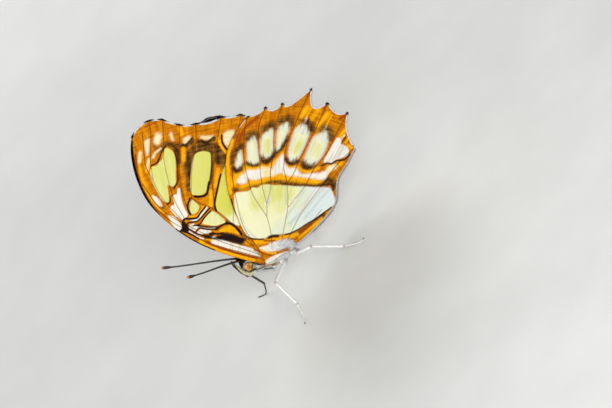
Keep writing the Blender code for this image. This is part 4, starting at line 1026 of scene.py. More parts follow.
def far_forewing(flat):
    """How far each point moves: down, but less at the front edge and at one hollow."""
    back, up = flat.T
    hidden = -1.155 * forewing_distance(back, up) * smooth(np.hypot(back, up) / 16)
    costa = smooth((up - 24) / 10) * smooth((3 - back) / 5)
    scallop = np.exp(-((back - 15.6) ** 2 + (up - 33.6) ** 2) / 2.2**2)
    return np.stack([-0.4 * costa, hidden + 0.4 * costa + 1.7 * scallop], axis=1)


def far_hindwing(flat):
    """The far hindwing is moved down too, less and less toward its hinge."""
    back, up = flat.T
    down = -1.22 * hindwing_distance(back, up) * smooth(np.hypot(back, up) / 14)
    return np.stack([0 * up, down], axis=1)


def hind_lean(flat):
    """The hindwing's front edge lies close on the forewing."""
    return 0.7 * (1 - smooth(nearest(flat, hind_costa) / 4.5)) * smooth((flat[:, 1] - 4) / 6)


WINGS = {
    "forewing": (FORE_HINGE, forewing_distance, far_forewing, None),
    "hindwing": (HIND_HINGE, hindwing_distance, far_hindwing, hind_lean),
}


def on_wing(pair, side, flat, proud=0.0):
    """Where points of the flat pattern lie on the standing wing, in millimetres."""
    hinge, distance, far, lean = WINGS[pair]
    if side > 0:
        flat = flat + far(flat)
    away = distance(flat[:, 0], flat[:, 1]) + proud
    if lean:
        away = away - lean(flat)
    return np.stack([flat[:, 0], side * away, flat[:, 1] + hinge], axis=1)


print("a near and a far point of the hindwing:",
      *(on_wing("hindwing", side, np.array([[20.0, 10.0]])).round(2) for side in (-1, 1)))

# %% Wings
VEIN_RISE = 0.07  # mm, as all lengths here
RIDGE_HALF_WIDTH = VEIN_HALF_WIDTH + 0.02
SHEET_THICKNESS = 0.1
BULGE = 0.16
PLEAT = 0.14


def wing_faces(plan, side):
    """Triangles of both faces and of the rim, turned outward."""
    count = len(plan["flat"])
    rim = len(plan["outline"])
    outer = list(plan["faces"])
    inner = [tuple(count + i for i in reversed(face)) for face in plan["faces"]]
    edge = [(i, i + count, (i + 1) % rim + count, (i + 1) % rim) for i in range(rim)]
    faces = outer + inner + edge
    return faces if side < 0 else [tuple(reversed(face)) for face in faces]


def make_wing(label, side, pair, plan):
    """One closed sheet: the skin bulges between the veins and sinks in the grey folds."""
    flat, fields = plan["flat"], plan["fields"]
    proud = BULGE * smooth(fields["vein"] / 1.8) * smooth(fields["rim"] / 2.0)
    proud -= PLEAT * smooth((fields[FOLD_SHADE] + 1) / 2)
    ridge = VEIN_RISE * np.clip(1 - (fields["vein"] / RIDGE_HALF_WIDTH) ** 2, 0, 1)
    half = SHEET_THICKNESS / 2 + ridge * smooth(fields["rim"] / 0.8)
    outer = on_wing(pair, side, flat, proud + half)
    inner = on_wing(pair, side, flat, proud - half)
    mesh = bpy.data.meshes.new(f"{pair}_{label}_scales")
    mesh.from_pydata(place(np.concatenate([outer, inner])).tolist(), [], wing_faces(plan, side))
    for name, values in fields.items():
        set_numbers(mesh, name, np.concatenate([values, values]))
    radius, sweep = plan["polar"]
    zeros = np.zeros(len(flat))
    for name, columns in (("wing", (flat[:, 0], flat[:, 1])), ("polar", (radius, sweep))):
        vectors = np.stack([*columns, zeros], axis=1)
        set_numbers(mesh, name, np.tile(vectors, (2, 1)), "FLOAT_VECTOR")
    set_numbers(mesh, "upper", np.concatenate([zeros, zeros + 1]))
    dress(mesh.name, mesh, scales, f"{pair}_scales", f"{pair}_{label}")
    print(mesh.name, len(mesh.polygons), "faces")


for label, side in SIDES.items():
    make_wing(label, side, "forewing", fore_plan)
    make_wing(label, side, "hindwing", hind_plan)

# %% [markdown]
# ## Tubes
# Legs, feelers, palps, tongue and abdomen are all long round parts. One helper
# sweeps a ring along a line, closes both ends, and remembers how far along and
# on which side each point lies, so that a material can mark it.

# %% Tube helper
def tube(path, radii, sides=14):
    """Points, faces, share along and outward direction of a round tube with closed ends."""
    path = np.asarray(path, float)
    radii = np.interp(np.linspace(0, 1, len(path)), np.linspace(0, 1, len(radii)), radii)
    heading = np.gradient(path, axis=0)
    heading /= np.linalg.norm(heading, axis=1)[:, None]
    across = np.cross(heading[0], (0.0, 0.3, 1.0))
    angles = np.linspace(0, 2 * np.pi, sides, endpoint=False)
    points, outward = [], []
    for spot, radius, ahead in zip(path, radii, heading):
        across = across - ahead * (across @ ahead)
        across /= np.linalg.norm(across)
        around = np.cos(angles)[:, None] * across + np.sin(angles)[:, None] * np.cross(ahead, across)
        points.append(spot + radius * around)
        outward.append(around)
    count = len(path)
    front = path[:1] - 0.5 * radii[0] * heading[:1]
    rear = path[-1:] + 0.5 * radii[-1] * heading[-1:]
    points = np.concatenate(points + [front, rear])
    outward = np.concatenate(outward + [-heading[:1], heading[-1:]])
    faces = []
    for i in range(count - 1):
        for j in range(sides):
            k = (j + 1) % sides
            faces.append((i * sides + j, i * sides + k, (i + 1) * sides + k, (i + 1) * sides + j))
    first, last = count * sides, count * sides + 1
    faces += [(first, (j + 1) % sides, j) for j in range(sides)]
    ring = (count - 1) * sides
    faces += [(last, ring + j, ring + (j + 1) % sides) for j in range(sides)]
    along = np.concatenate([np.repeat(np.linspace(0, 1, count), sides), [0, 1]])
    return points, faces, along, outward


print("points in a straight tube of two rings:", len(tube([(0, 0, 0), (1, 0, 0)], [1])[0]))

# %% [markdown]
# A piece of several shells is joined into one list of points before it is a mesh.

# %% Mesh helpers
def joined(shells):
    """Several closed shells as one list of points and one of faces."""
    points, faces, start = [], [], 0
    for shell_points, shell_faces in shells:
        points.append(np.asarray(shell_points))
        faces += [tuple(start + i for i in face) for face in shell_faces]
        start += len(shell_points)
    return np.concatenate(points), faces


def mesh_of(name, points, faces):
    """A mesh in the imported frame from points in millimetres."""
    mesh = bpy.data.meshes.new(name)
    mesh.from_pydata(place(points).tolist(), [], faces)
    return mesh


def mirrored(point, side):
    """A point of the right side, or its twin on the left where the side is -1."""
    return (point[0], side * point[1], point[2])


print("a point and its twin:", mirrored((1, 2, 3), 1), mirrored((1, 2, 3), -1))

# %% [markdown]
# ## The body
# Head, breast and abdomen are one skin with no seam. Rounded forms are set over
# each other and a voxel remesh melts them into one closed surface, as a modeller
# would press balls of clay together.

# %% Rounded forms
LEGS = {
    # root, hip, knee, ankle, arch, heel and toe
    "midleg_left": [(1.0, -0.9, 10.2), (1.2, -2.0, 8.3), (-3.5, -7.0, 9.7), (-4.0, -10.0, 3.6),
                    (-5.0, -11.15, 1.4), (-5.6, -11.8, 0.16), (-6.15, -12.5, 0.16)],
    "midleg_right": [(1.0, 0.9, 10.2), (1.2, 2.0, 8.3), (-6.0, 6.8, 9.3), (-5.3, 9.4, 2.45),
                     (-6.3, 9.6, 0.75), (-7.0, 9.8, 0.16), (-8.4, 11.1, 0.16)],
    "hindleg_left": [(4.2, -0.8, 9.3), (4.8, -2.0, 7.5), (8.1, -5.0, 7.5), (12.9, -7.0, 2.1),
                     (14.4, -7.4, 0.95), (15.8, -7.8, 0.16), (16.9, -8.15, 0.16)],
    "hindleg_right": [(4.2, 0.8, 9.3), (4.8, 2.0, 7.5), (7.4, 5.6, 8.3), (10.2, 10.3, 3.2),
                      (11.1, 11.6, 1.4), (11.7, 12.5, 0.16), (12.3, 13.3, 0.16)],
}


def ellipsoid(centre, radii, pitch=0.0):
    """A closed rounded form; its pitch lifts the front."""
    bm = bmesh.new()
    bmesh.ops.create_icosphere(bm, subdivisions=4, radius=1)
    turn = Matrix.Rotation(pitch, 3, "Y")
    points = [tuple(turn @ Vector(v.co * Vector(radii)) + Vector(centre)) for v in bm.verts]
    faces = [tuple(v.index for v in face.verts) for face in bm.faces]
    bm.free()
    return points, faces


def abdomen():
    """Soft rings that taper to the tip, each narrower at its front edge."""
    steps = 72
    path = bezier((4.4, 0, 10.7), [(12.0, 0, 11.0)] * 2, (19.6, 0, 10.3), steps)
    t = np.linspace(0, 1, steps)
    swell = np.sin(np.pi * (0.12 + 0.8 * t) ** 0.8)
    groove = 0.1 * np.abs(np.cos(np.pi * 8 * t)) ** 6
    return tube(path, 1.55 * (0.22 + 0.78 * swell) - groove, 28)[:2]


print("points of the abdomen:", len(abdomen()[0]))

# %% Body skin
BODY_PITCH = math.radians(25)
VOXEL = 0.11  # mm


def body_skin():
    """Breast, neck, head, face and abdomen, with the feelers' and legs' first stubs."""
    shells = [
        ellipsoid((1.3, 0, 10.9), (5.0, 2.2, 2.75), BODY_PITCH),
        ellipsoid((-2.5, 0, 12.7), (1.25, 1.4, 1.5), BODY_PITCH),
        ellipsoid((-4.4, 0, 14.9), (1.4, 1.6, 1.8)),
        ellipsoid((-5.1, 0, 13.7), (0.75, 0.7, 0.75)),
        abdomen(),
    ]
    stubs = [([(-4.4, 0.52, 16.2), (-4.9, 0.76, 16.9)], [0.42, 0.34]),
             ([(0.2, 0.9, 11.0), (-1.0, 1.8, 9.8)], [0.7, 0.42])]
    for side in (-1, 1):
        for ends, radii in stubs:
            shells.append(tube([mirrored(p, side) for p in ends], radii)[:2])
    for spots in LEGS.values():
        root, hip = np.array(spots[0]), np.array(spots[1])
        shells.append(tube([root, root + 0.96 * (hip - root)], [0.75, 0.4])[:2])
    mesh = mesh_of("body_clay", *joined(shells))
    clay = bpy.data.objects.new("body_clay", mesh)
    bpy.context.scene.collection.objects.link(clay)
    melt = clay.modifiers.new("melt", "REMESH")
    melt.mode = "VOXEL"
    melt.voxel_size = VOXEL * MM
    soften = clay.modifiers.new("soften", "SMOOTH")
    soften.factor = 0.5
    soften.iterations = 6
    evaluated = clay.evaluated_get(bpy.context.evaluated_depsgraph_get())
    skin = bpy.data.meshes.new_from_object(evaluated)
    bpy.data.objects.remove(clay)
    skin.name = "body_skin"
    return skin


skin = body_skin()
print("body skin:", len(skin.vertices), "points")

# %% [markdown]
# The same side-view marks colour both the skin and the hair that grows on it:
# white breast, orange and olive stripes below the wing root, a dark crown.

# %% Body markings
BODY_MARKS = {
    "dark": [
        (0.3, 0, [(-6.2, 14.9), (-6.3, 18.0), (-2.4, 17.6), (-1.9, 14.6), (-2.7, 13.9), (-3.2, 15.2),
                  (-3.8, 15.9), (-4.8, 15.9), (-5.5, 15.2)]),
        (0.3, 0.45, [(-3.0, 15.4), (-3.1, 14.2), (-2.9, 13.0), (-2.0, 12.2)]),
        (0.3, 0.6, [(-6.1, 15.9), (-5.9, 14.6), (-5.6, 13.9)]),
    ],
    "orange": [
        (0.3, 0.7, [(-2.0, 12.9), (-1.2, 12.0), (0.0, 11.3)]),
        (0.3, 0.3, [(-2.6, 12.3), (-1.2, 10.8), (0.4, 9.3)]),
        (0.35, 0.6, [(2.8, 12.4), (4.4, 12.0)]),
    ],
    "olive": [
        (0.4, 0.9, [(-6.0, 13.6), (-5.0, 12.9), (-3.9, 12.9)]),
        (0.3, 0.35, [(-3.0, 12.0), (-1.6, 10.9), (0.2, 10.4)]),
        (0.3, 0.5, [(3.0, 13.0), (5.2, 12.6)]),
    ],
}


print("body marks:", sum(map(len, BODY_MARKS.values())))


def body_fields(points, normals):
    """Marks and how far a point faces up, from its place in the animal's own frame."""
    side_view = points[:, (0, 2)]
    fields = {kind: depth_in(side_view, rows) for kind, rows in BODY_MARKS.items()}
    fields["crown"] = smooth((normals[:, 2] - 0.15) / 0.6) * smooth((6.5 - points[:, 0]) / 2.5)
    return fields

# %% [markdown]
# Skin and hair share one finish, so that no bald colour shows between the tufts.

# %% Skin finish
def hairy_skin(name, roughness):
    """Skin and hair share one finish: dull, grainy, white with orange, olive and dark marks."""
    material, tree, shader = new_material(name, roughness, Specular_IOR_Level=0.08)
    spot = add(tree, "TexCoord", {}, "Object")
    # locks about half a millimetre apart; single hairs are too fine to show
    hair = add(tree, "TexNoise", {"Vector": spot, "Scale": 1.8 * PER_MM, "Detail": 2.0})
    white = add(tree, "ValToRGB", {0: hair}, stops=[(0.3, "#EFECE8"), (0.6, "#FFFEFC")])
    black = add(tree, "ValToRGB", {0: hair}, stops=[(0.3, "#0C0806"), (0.7, "#2C1E12")])
    layers = []
    tones = (("olive", colour("#C6C272")), ("orange", colour("#C06408")), ("dark", black))
    for kind, tone in tones:
        depth = add(tree, "Attribute", {}, "Fac", attribute_name=kind)
        amount = add(tree, "MapRange", {0: depth, 1: -0.6, 2: 0.6}, interpolation_type="SMOOTHSTEP")
        layers.append((amount, tone))
    layers.append((add(tree, "Attribute", {}, "Fac", attribute_name="crown"), black))
    tree.links.new(layered(tree, white, layers), shader.inputs["Base Color"])
    fuzz = add(tree, "TexNoise", {"Vector": spot, "Scale": 5.2 * PER_MM, "Detail": 3.0})
    bump = add(tree, "Bump", {"Height": fuzz, "Strength": 0.4, "Distance": 0.00003})
    tree.links.new(bump, shader.inputs["Normal"])
    return material


body_hair = hairy_skin("body_skin_haired", 0.7)
print("nodes in the skin material:", len(body_hair.node_tree.nodes))

# %% [markdown]
# The marks are worked out at each point of the skin and kept on the mesh, where the
# finish reads them.

# %% Dressing the body
def mesh_points(mesh):
    """A mesh's points back in millimetres in the animal's own frame."""
    flat = np.zeros(len(mesh.vertices) * 3, np.float32)
    mesh.vertices.foreach_get("co", flat)
    return flat.reshape(-1, 3) / MM - SHIFT


def mesh_normals(mesh):
    flat = np.zeros(len(mesh.vertices) * 3, np.float32)
    mesh.vertices.foreach_get("normal", flat)
    return flat.reshape(-1, 3)


skin_points, skin_normals = mesh_points(skin), mesh_normals(skin)
for name, values in body_fields(skin_points, skin_normals).items():
    set_numbers(skin, name, values)
dress("body_skin", skin, body_hair, "body_hair", "head", "thorax", "abdomen")
print("body skin from", skin_points.min(0).round(1), "to", skin_points.max(0).round(1), "mm")

# %% [markdown]
# ## Tufts of hair
# The breast and the wing roots wear long soft hair, the head short hair, and the
# wings a fringe of long scales. Each tuft is a closed spindle of seven points that
# tapers to a tip and bends back along the coat. A small patch of the map OFBake
# keeps the place of its root on the unrolled skin.

# %% Tuft helper
SPINDLE = [(2, 1, 0), (0, 1, 4, 3), (1, 2, 5, 4), (2, 0, 3, 5), (3, 4, 6), (4, 5, 6), (5, 3, 6)]
TUFT_POINTS = 7
PATCH_CORNERS = [(-1, -1), (1, -1), (0, -1), (-1, 0), (1, 0), (0, 0), (0, 1)]
PATCH_HALF = 0.0015  # of the map's side
OVER_FLOOR = 0.01  # mm


def unit(vectors):
    return vectors / np.linalg.norm(vectors, axis=1)[:, None]


def per_tuft(values):
    """Each root's value for all the points of its tuft."""
    return np.repeat(values, TUFT_POINTS, axis=0)


def tuft_mesh(name, roots, normals, leads, lengths, width, lift, map_spots):
    """Many tufts in one mesh; each rises from its root and bends along its lead."""
    leads = unit(leads - normals * np.sum(leads * normals, axis=1)[:, None])
    ahead, back = unit(leads + lift * normals), unit(leads + 0.3 * lift * normals)
    across = unit(np.cross(ahead, normals + 0.01))
    other = np.cross(ahead, across)
    size = np.asarray(lengths)[:, None]
    foot = roots - 0.05 * normals
    middle = roots + 0.5 * size * ahead
    rings = [centre + share * width * (aside * across + down * other)
             for centre, share in ((foot, 1.0), (middle, 0.8))
             for aside, down in ((1, 0), (0, 0.6), (-1, 0))]
    points = np.stack(rings + [middle + 0.55 * size * back], axis=1).reshape(-1, 3)
    points[:, 2] = np.maximum(points[:, 2], OVER_FLOOR)
    faces = [tuple(TUFT_POINTS * i + k for k in face) for i in range(len(roots)) for face in SPINDLE]
    mesh = mesh_of(name, points, faces)
    corners = np.zeros(len(mesh.loops), np.int32)
    mesh.loops.foreach_get("vertex_index", corners)
    patch = PATCH_HALF * np.array(PATCH_CORNERS)
    spots = np.asarray(map_spots)[corners // TUFT_POINTS] + patch[corners % TUFT_POINTS]
    mesh.uv_layers.new(name="OFBake").data.foreach_set("uv", spots.astype(np.float32).ravel())
    shading = 0.35 * mesh_normals(mesh) + per_tuft(normals)
    mesh.normals_split_custom_set_from_vertices(unit(shading).tolist())
    return mesh


print("faces in a tuft:", len(SPINDLE))

# %% [markdown]
# A coat picks points of the skin at random, likelier where its chance is high, and
# roots a tuft at each.

# %% Hair of the body
def unrolled(points):
    """Body points on a map of the skin: round the body one way, along it the other."""
    around = np.arctan2(points[:, 1], points[:, 2] - 12.0) / (2 * math.pi)
    return np.stack([0.5 + 0.96 * around, (points[:, 0] + 8) / 32], axis=1)


def body_coat(name, count, seed, chance, length, width, lift, lead):
    """Hair over the part of the skin where the chance is above nought."""
    rng = np.random.default_rng(seed)
    likely = np.clip(chance(skin_points, skin_normals), 0, None)
    picked = rng.choice(len(likely), count, p=likely / likely.sum())
    roots, normals = skin_points[picked], skin_normals[picked]
    leads = lead(roots) + rng.normal(0, 0.18, roots.shape)
    lengths = length(roots) * rng.uniform(0.7, 1.2, count)
    mesh = tuft_mesh(name, roots, normals, leads, lengths, width, lift, unrolled(roots))
    for kind, values in body_fields(roots, normals).items():
        set_numbers(mesh, kind, per_tuft(values))
    dress(name, mesh, body_hair, "body_hair")
    print(name, count)

# %% [markdown]
# Hair is likeliest where a coat's chance is high. It is longest and flattest on the
# breast, short and raised on the head, and everywhere else it runs to the rear.

# %% Coats of the body
MANY = 1.0


def toward(*direction):
    """The same lead for every tuft."""
    return lambda roots: np.tile(np.array(direction, float), (len(roots), 1))


def even(value):
    """The same number for every tuft."""
    return lambda roots: value + 0 * roots[:, 0]


def below_wings(p, normals):
    rear = smooth((5.6 - p[:, 0]) / 1.0)
    return smooth((p[:, 0] + 3.4) / 0.8) * rear * smooth((14.2 - p[:, 2]) / 0.8)


def above_wings(p, normals):
    rear = smooth((6.5 - p[:, 0]) / 1.0)
    return smooth((p[:, 0] + 3.4) / 0.6) * rear * smooth((p[:, 2] - 12.8) / 0.6)


def up_the_face(p):
    return np.stack([-0.6 - 0 * p[:, 0], 0 * p[:, 0], np.clip(p[:, 2] - 15.2, -0.8, 1.4)], axis=1)


body_coat("breast_hair", int(3600 * MANY), 1, below_wings,
          lambda p: 0.7 + 0.6 * smooth((p[:, 0] + 2) / 4), 0.07, 0.16, toward(1.0, 0, -0.55))
body_coat("back_hair", int(3200 * MANY), 2, above_wings, even(0.8), 0.06, 0.3, toward(1.0, 0, 0.2))
body_coat("head_hair", int(3800 * MANY), 3, lambda p, normals: smooth((-2.9 - p[:, 0]) / 0.4),
          lambda p: 0.28 + 0.4 * smooth((p[:, 2] - 15.8) / 0.8), 0.03, 0.5, up_the_face)
body_coat("abdomen_hair", int(4200 * MANY), 4, lambda p, normals: smooth((p[:, 0] - 5.0) / 1.0),
          even(0.4), 0.035, 0.25, toward(1.0, 0, 0))

# %% [markdown]
# ## Fringes and wing-root hair
# Long narrow scales stand out from the wing's outer edge, white in the hollows and
# black at the vein ends, and paler hair edges the hindwing next to the body. Long
# white hair grows over the wing roots and hides the joint with the breast.

# %% Fringe finish
WING_MAP = {"forewing": (0.02, 0.02), "hindwing": (0.02, 0.52)}
WING_MAP_START = (12, 8)  # mm before and below the hinge
WING_MAP_SCALE = 0.46 / 60  # of the map's side to a millimetre


def wing_map(pair, side, flat):
    """The wing's own flat pattern, one quarter of the map for each wing."""
    right, up = WING_MAP[pair]
    return np.array((right + 0.5 * (side > 0), up)) + (flat + WING_MAP_START) * WING_MAP_SCALE


def fringe_material():
    """Dull hair-like scales; one number turns them from black to white, one to orange."""
    material, tree, shader = new_material("fringe_scales_long", 0.65, Specular_IOR_Level=0.08)
    pale = add(tree, "Attribute", {}, "Fac", attribute_name="pale_hair")
    warm = add(tree, "Attribute", {}, "Fac", attribute_name="warm_hair")
    spot = add(tree, "TexCoord", {}, "Object")
    # a change of shade each 0.4 mm, about every fourth real scale
    grain = add(tree, "TexNoise", {"Vector": spot, "Scale": 2.6 * PER_MM, "Detail": 2.0})
    white = add(tree, "ValToRGB", {0: grain}, stops=[(0.3, "#F0EEEC"), (0.6, "#FFFFFF")])
    orange = add(tree, "ValToRGB", {0: grain}, stops=[(0.3, "#A85C08"), (0.7, "#E29A20")])
    black = add(tree, "ValToRGB", {0: grain}, stops=[(0.3, "#0E0908"), (0.7, "#33251C")])
    tone = layered(tree, black, [(pale, white), (warm, orange)])
    tree.links.new(tone, shader.inputs["Base Color"])
    fuzz = add(tree, "TexNoise", {"Vector": spot, "Scale": 6.0 * PER_MM, "Detail": 2.0})
    bump = add(tree, "Bump", {"Height": fuzz, "Strength": 0.3, "Distance": 0.00002})
    tree.links.new(bump, shader.inputs["Normal"])
    return material


fringe_finish = fringe_material()
print("nodes in the fringe material:", len(fringe_finish.node_tree.nodes))

# %% [markdown]
# The tufts stand in two staggered rows, so that the fringe has no gaps.

# %% Wing fringes
FRINGE_STEP = 0.07  # mm


def edge_hair(label, side, pair, title, edge, step, length, width, pale, warm, seed):
    """Two staggered rows of hair along an edge, pointing away from the wing."""
    rng = np.random.default_rng(seed)
    flat = np.concatenate([respaced(edge, step), respaced(edge, step * 1.07)])
    slope = np.gradient(flat, axis=0)
    slope /= np.maximum(np.linalg.norm(slope, axis=1), 1e-6)[:, None]
    outward = np.stack([slope[:, 1], -slope[:, 0]], axis=1)
    probe = inside(flat + 0.4 * outward, fore_outline if pair == "forewing" else hind_outline)
    outward[probe] *= -1
    sway = rng.normal(0, 0.12, outward.shape)
    outward += sway + 0.35 * slope * rng.uniform(-0.4, 1, len(flat))[:, None]
    rooted = flat - 0.08 * outward
    roots = on_wing(pair, side, rooted, rng.uniform(-0.03, 0.03, len(flat)))
    leads = on_wing(pair, side, rooted + 0.4 * outward) - on_wing(pair, side, rooted)
    normals = np.tile((0.0, float(side), 0.0), (len(flat), 1))
    lengths = length * rng.uniform(0.7, 1.15, len(flat))
    mesh = tuft_mesh(f"{pair}_{label}_{title}", roots, normals, leads, lengths, width, 0.02,
                     wing_map(pair, side, rooted))
    set_numbers(mesh, "pale_hair", per_tuft(pale(flat) * rng.uniform(0.75, 1, len(flat))))
    set_numbers(mesh, "warm_hair", per_tuft(warm(flat)))
    dress(mesh.name, mesh, fringe_finish, f"{pair}_scales")
    return len(flat)


def between_tips(tips, near, far):
    """White in the hollows of the edge and black at the vein ends."""
    def pale(flat):
        distance = np.min([np.hypot(*(flat - np.array(tip)).T) for tip in tips], axis=0)
        return smooth((distance - near) / (far - near))
    return pale


def never(flat):
    return np.zeros(len(flat))


for label, side in SIDES.items():
    count = edge_hair(label, side, "forewing", "fringe", fore_margin, FRINGE_STEP, 0.42, 0.05,
                      between_tips(fore_tips, 0.9, 1.5), never, 11 + side)
    count += edge_hair(label, side, "hindwing", "fringe", hind_margin[1:], FRINGE_STEP, 0.4, 0.05,
                       between_tips(hind_tips, 0.35, 0.8), never, 21 + side)
    count += edge_hair(label, side, "hindwing", "inner_hair", hind_back, FRINGE_STEP, 0.8, 0.05,
                       even(0.85), lambda flat: 0.25 * smooth((flat[:, 0] - 20) / 8), 31 + side)
    print(label, "edge tufts:", count)

# %% [markdown]
# The root's hair fans out from the hinge, longer toward the rear. An orange streak
# and an olive one run through it, as they do on the wing below.

# %% Hair on the wing roots
ROOT_PATCH = [(-1.5, -0.4), (-1.2, -1.2), (-0.4, -1.7), (1.2, -1.7), (3.0, -2.6), (4.6, -3.3),
              (5.4, -2.6), (5.2, -1.2), (3.8, 0.4), (2.2, 1.5), (0.8, 2.6), (0.0, 2.6), (0.3, 0.9)]
ROOT_ORANGE = [(0.35, 0.5, [(-0.3, 2.6), (-0.2, 1.2), (0.5, 0.1), (1.7, -0.6)])]
ROOT_OLIVE = [(0.35, 0.7, [(2.1, -1.3), (3.3, -2.2)])]
for label, side in SIDES.items():
    rng = np.random.default_rng(41 + side)
    flat = rng.uniform((-1.5, -4.0), (6.0, 3.0), (int(3000 * MANY), 2))
    patch = smooth_through(ROOT_PATCH, 0.4, closed=True)
    flat = flat[inside(flat, patch)]
    grown = 0.05 + 0.25 * rng.uniform(0, 1, len(flat))
    roots = on_wing("hindwing", side, flat, grown)
    away = flat - (-1.5, 0.6)
    leads = np.stack([0.8 + 0.12 * away[:, 0], side * 0.1 + 0 * away[:, 0],
                      -0.25 + 0.28 * away[:, 1]], axis=1)
    leads += rng.normal(0, 0.16, leads.shape)
    normals = np.tile((0.0, float(side), 0.0), (len(flat), 1))
    lengths = (0.9 + 0.9 * smooth((flat[:, 0] - 1) / 3)) * rng.uniform(0.7, 1.15, len(flat))
    name = f"hindwing_{label}_root_hair"
    mesh = tuft_mesh(name, roots - normals * grown[:, None], normals, leads, lengths, 0.06, 0.16,
                     wing_map("hindwing", side, flat))
    olive, warm = depth_in(flat, ROOT_OLIVE), depth_in(flat, ROOT_ORANGE + ROOT_OLIVE)
    set_numbers(mesh, "pale_hair", per_tuft(1 - 0.3 * smooth(olive + 0.5)))
    set_numbers(mesh, "warm_hair", per_tuft(smooth(warm + 0.5)))
    dress(name, mesh, fringe_finish, "hindwing_scales")
    print(name, len(flat))

# %% [markdown]
# ## Eyes
# A butterfly's eye is a dome of thousands of lenses. Here it is amber with dark
# flecks, and a fine honeycomb relief stands for the lenses.

# %% Eyes
FACET = 0.07  # mm; real lenses are about 0.025, too fine to show
EYE_MIDDLE, EYE_RADII = (-4.55, 1.6, 14.75), (1.07, 0.62, 1.1)  # mm


def eye_material():
    """Clear smooth lens skin over coloured flecks: a small sharp gleam on amber."""
    material, tree, shader = new_material("eye_cornea_faceted", 0.3, IOR=1.5, Coat_Weight=0.25)
    spot = add(tree, "TexCoord", {}, "Object")
    # flecks about two thirds of a millimetre across
    fleck = add(tree, "TexNoise",
                {"Vector": spot, "Scale": 1.5 * PER_MM, "Detail": 3.0, "Roughness": 0.7})
    tone = add(tree, "ValToRGB", {0: fleck},
               stops=[(0.38, "#3A1804"), (0.48, "#A8640F"), (0.62, "#EDB04A")])
    low = add(tree, "Attribute", {}, "Fac", attribute_name="low")
    tone = layered(tree, tone, [(low, colour("#3C1C08"))])
    tree.links.new(tone, shader.inputs["Base Color"])
    lenses = add(tree, "TexVoronoi", {"Vector": spot, "Scale": 1 / (FACET * MM)})
    bump = add(tree, "Bump", {"Height": lenses, "Strength": 0.3, "Distance": 0.00003}, invert=True)
    tree.links.new(bump, shader.inputs["Normal"])
    return material


cornea = eye_material()
for label, side in SIDES.items():
    points, faces = ellipsoid(mirrored(EYE_MIDDLE, side), EYE_RADII)
    mesh = mesh_of(f"eye_dome_{label}", points, faces)
    points = np.array(points)
    set_numbers(mesh, "low", 0.8 * smooth((14.6 - points[:, 2] + 0.8 * (points[:, 0] + 4.5)) / 0.9))
    dress(mesh.name, mesh, cornea, "eye", f"eye_{label}")
    print(mesh.name, len(faces), "faces")

# %% [markdown]
# ## Feelers, palps and tongue
# A feeler is a chain of some forty short segments that ends in a club. It is swept
# as one tube whose radius dips between the segments.

# %% Feelers
FEELER_ROOT = (-4.95, 0.8, 17.0)
FEELER_TIPS = {"left": (-15.4, -5.9, 27.7), "right": (-17.6, 5.9, 27.7)}
SEGMENTS = 40
CLUB_STARTS = 0.84  # of the length


def feeler_material():
    """Hard dark insect skin with pale rings: a low gleam along each segment."""
    material, tree, shader = new_material("feeler_chitin_ringed", 0.45, IOR=1.56)
    spot = add(tree, "TexCoord", {}, "Object")
    # a third of a millimetre; the real pits are too fine to show
    grain = add(tree, "TexNoise", {"Vector": spot, "Scale": 3.0 * PER_MM, "Detail": 2.0})
    shaft = add(tree, "ValToRGB", {0: grain}, stops=[(0.35, "#0B0807"), (0.75, "#241B15")])
    along = add(tree, "Attribute", {}, "Fac", attribute_name="along")
    ring = add(tree, "Attribute", {}, "Fac", attribute_name="joint")
    club = add(tree, "MapRange", {0: along, 1: 0.97, 2: 0.99}, interpolation_type="SMOOTHSTEP")
    tone = layered(tree, shaft, [(ring, colour("#8C8274")), (club, colour("#C8741A"))])
    tree.links.new(tone, shader.inputs["Base Color"])
    return material


def make_feeler(label, side, material):
    """A slightly bent shaft, rooted a little inside the head, with a thicker end."""
    start, end = np.array(mirrored(FEELER_ROOT, side)), np.array(FEELER_TIPS[label])
    lift = np.array((0, 0, 0.5))
    steps = SEGMENTS * 5
    handles = [start + 0.3 * (end - start) + lift, start + 0.7 * (end - start) - lift]
    path = bezier(start - 0.05 * (end - start), handles, end, steps)
    t = np.linspace(0, 1, steps)
    club = 0.2 * smooth((t - CLUB_STARTS) / 0.1) - 0.14 * smooth((t - 0.975) / 0.025)
    radius = 0.2 + 0.1 * (1 - t) ** 3 + club
    groove = np.abs(np.cos(np.pi * SEGMENTS * t)) ** 8
    points, faces, along, _ = tube(path, radius * (1 - 0.18 * groove), 12)
    mesh = mesh_of(f"feeler_{label}", points, faces)
    set_numbers(mesh, "along", along)
    rings = 0.14 * np.abs(np.cos(np.pi * SEGMENTS * along)) ** 8
    set_numbers(mesh, "joint", rings * (along < CLUB_STARTS) * (along > 0.12))
    dress(mesh.name, mesh, material, "feeler", f"antenna_{label}")
    print(mesh.name, len(points), "points")


chitin = feeler_material()
for label, side in SIDES.items():
    make_feeler(label, side, chitin)

# %% [markdown]
# The palps are two brush-like arms in front of the face. Their short hair lies all
# round a tube, and the same helper later roughens the legs.

# %% Palp finish
PALP_PATH = [(-4.8, 1.1, 12.45), (-5.65, 1.15, 12.8), (-6.35, 1.05, 14.3), (-6.5, 1.0, 16.0),
             (-6.3, 0.85, 17.4)]
PALP_RADII = [0.3, 0.42, 0.4, 0.33, 0.1]


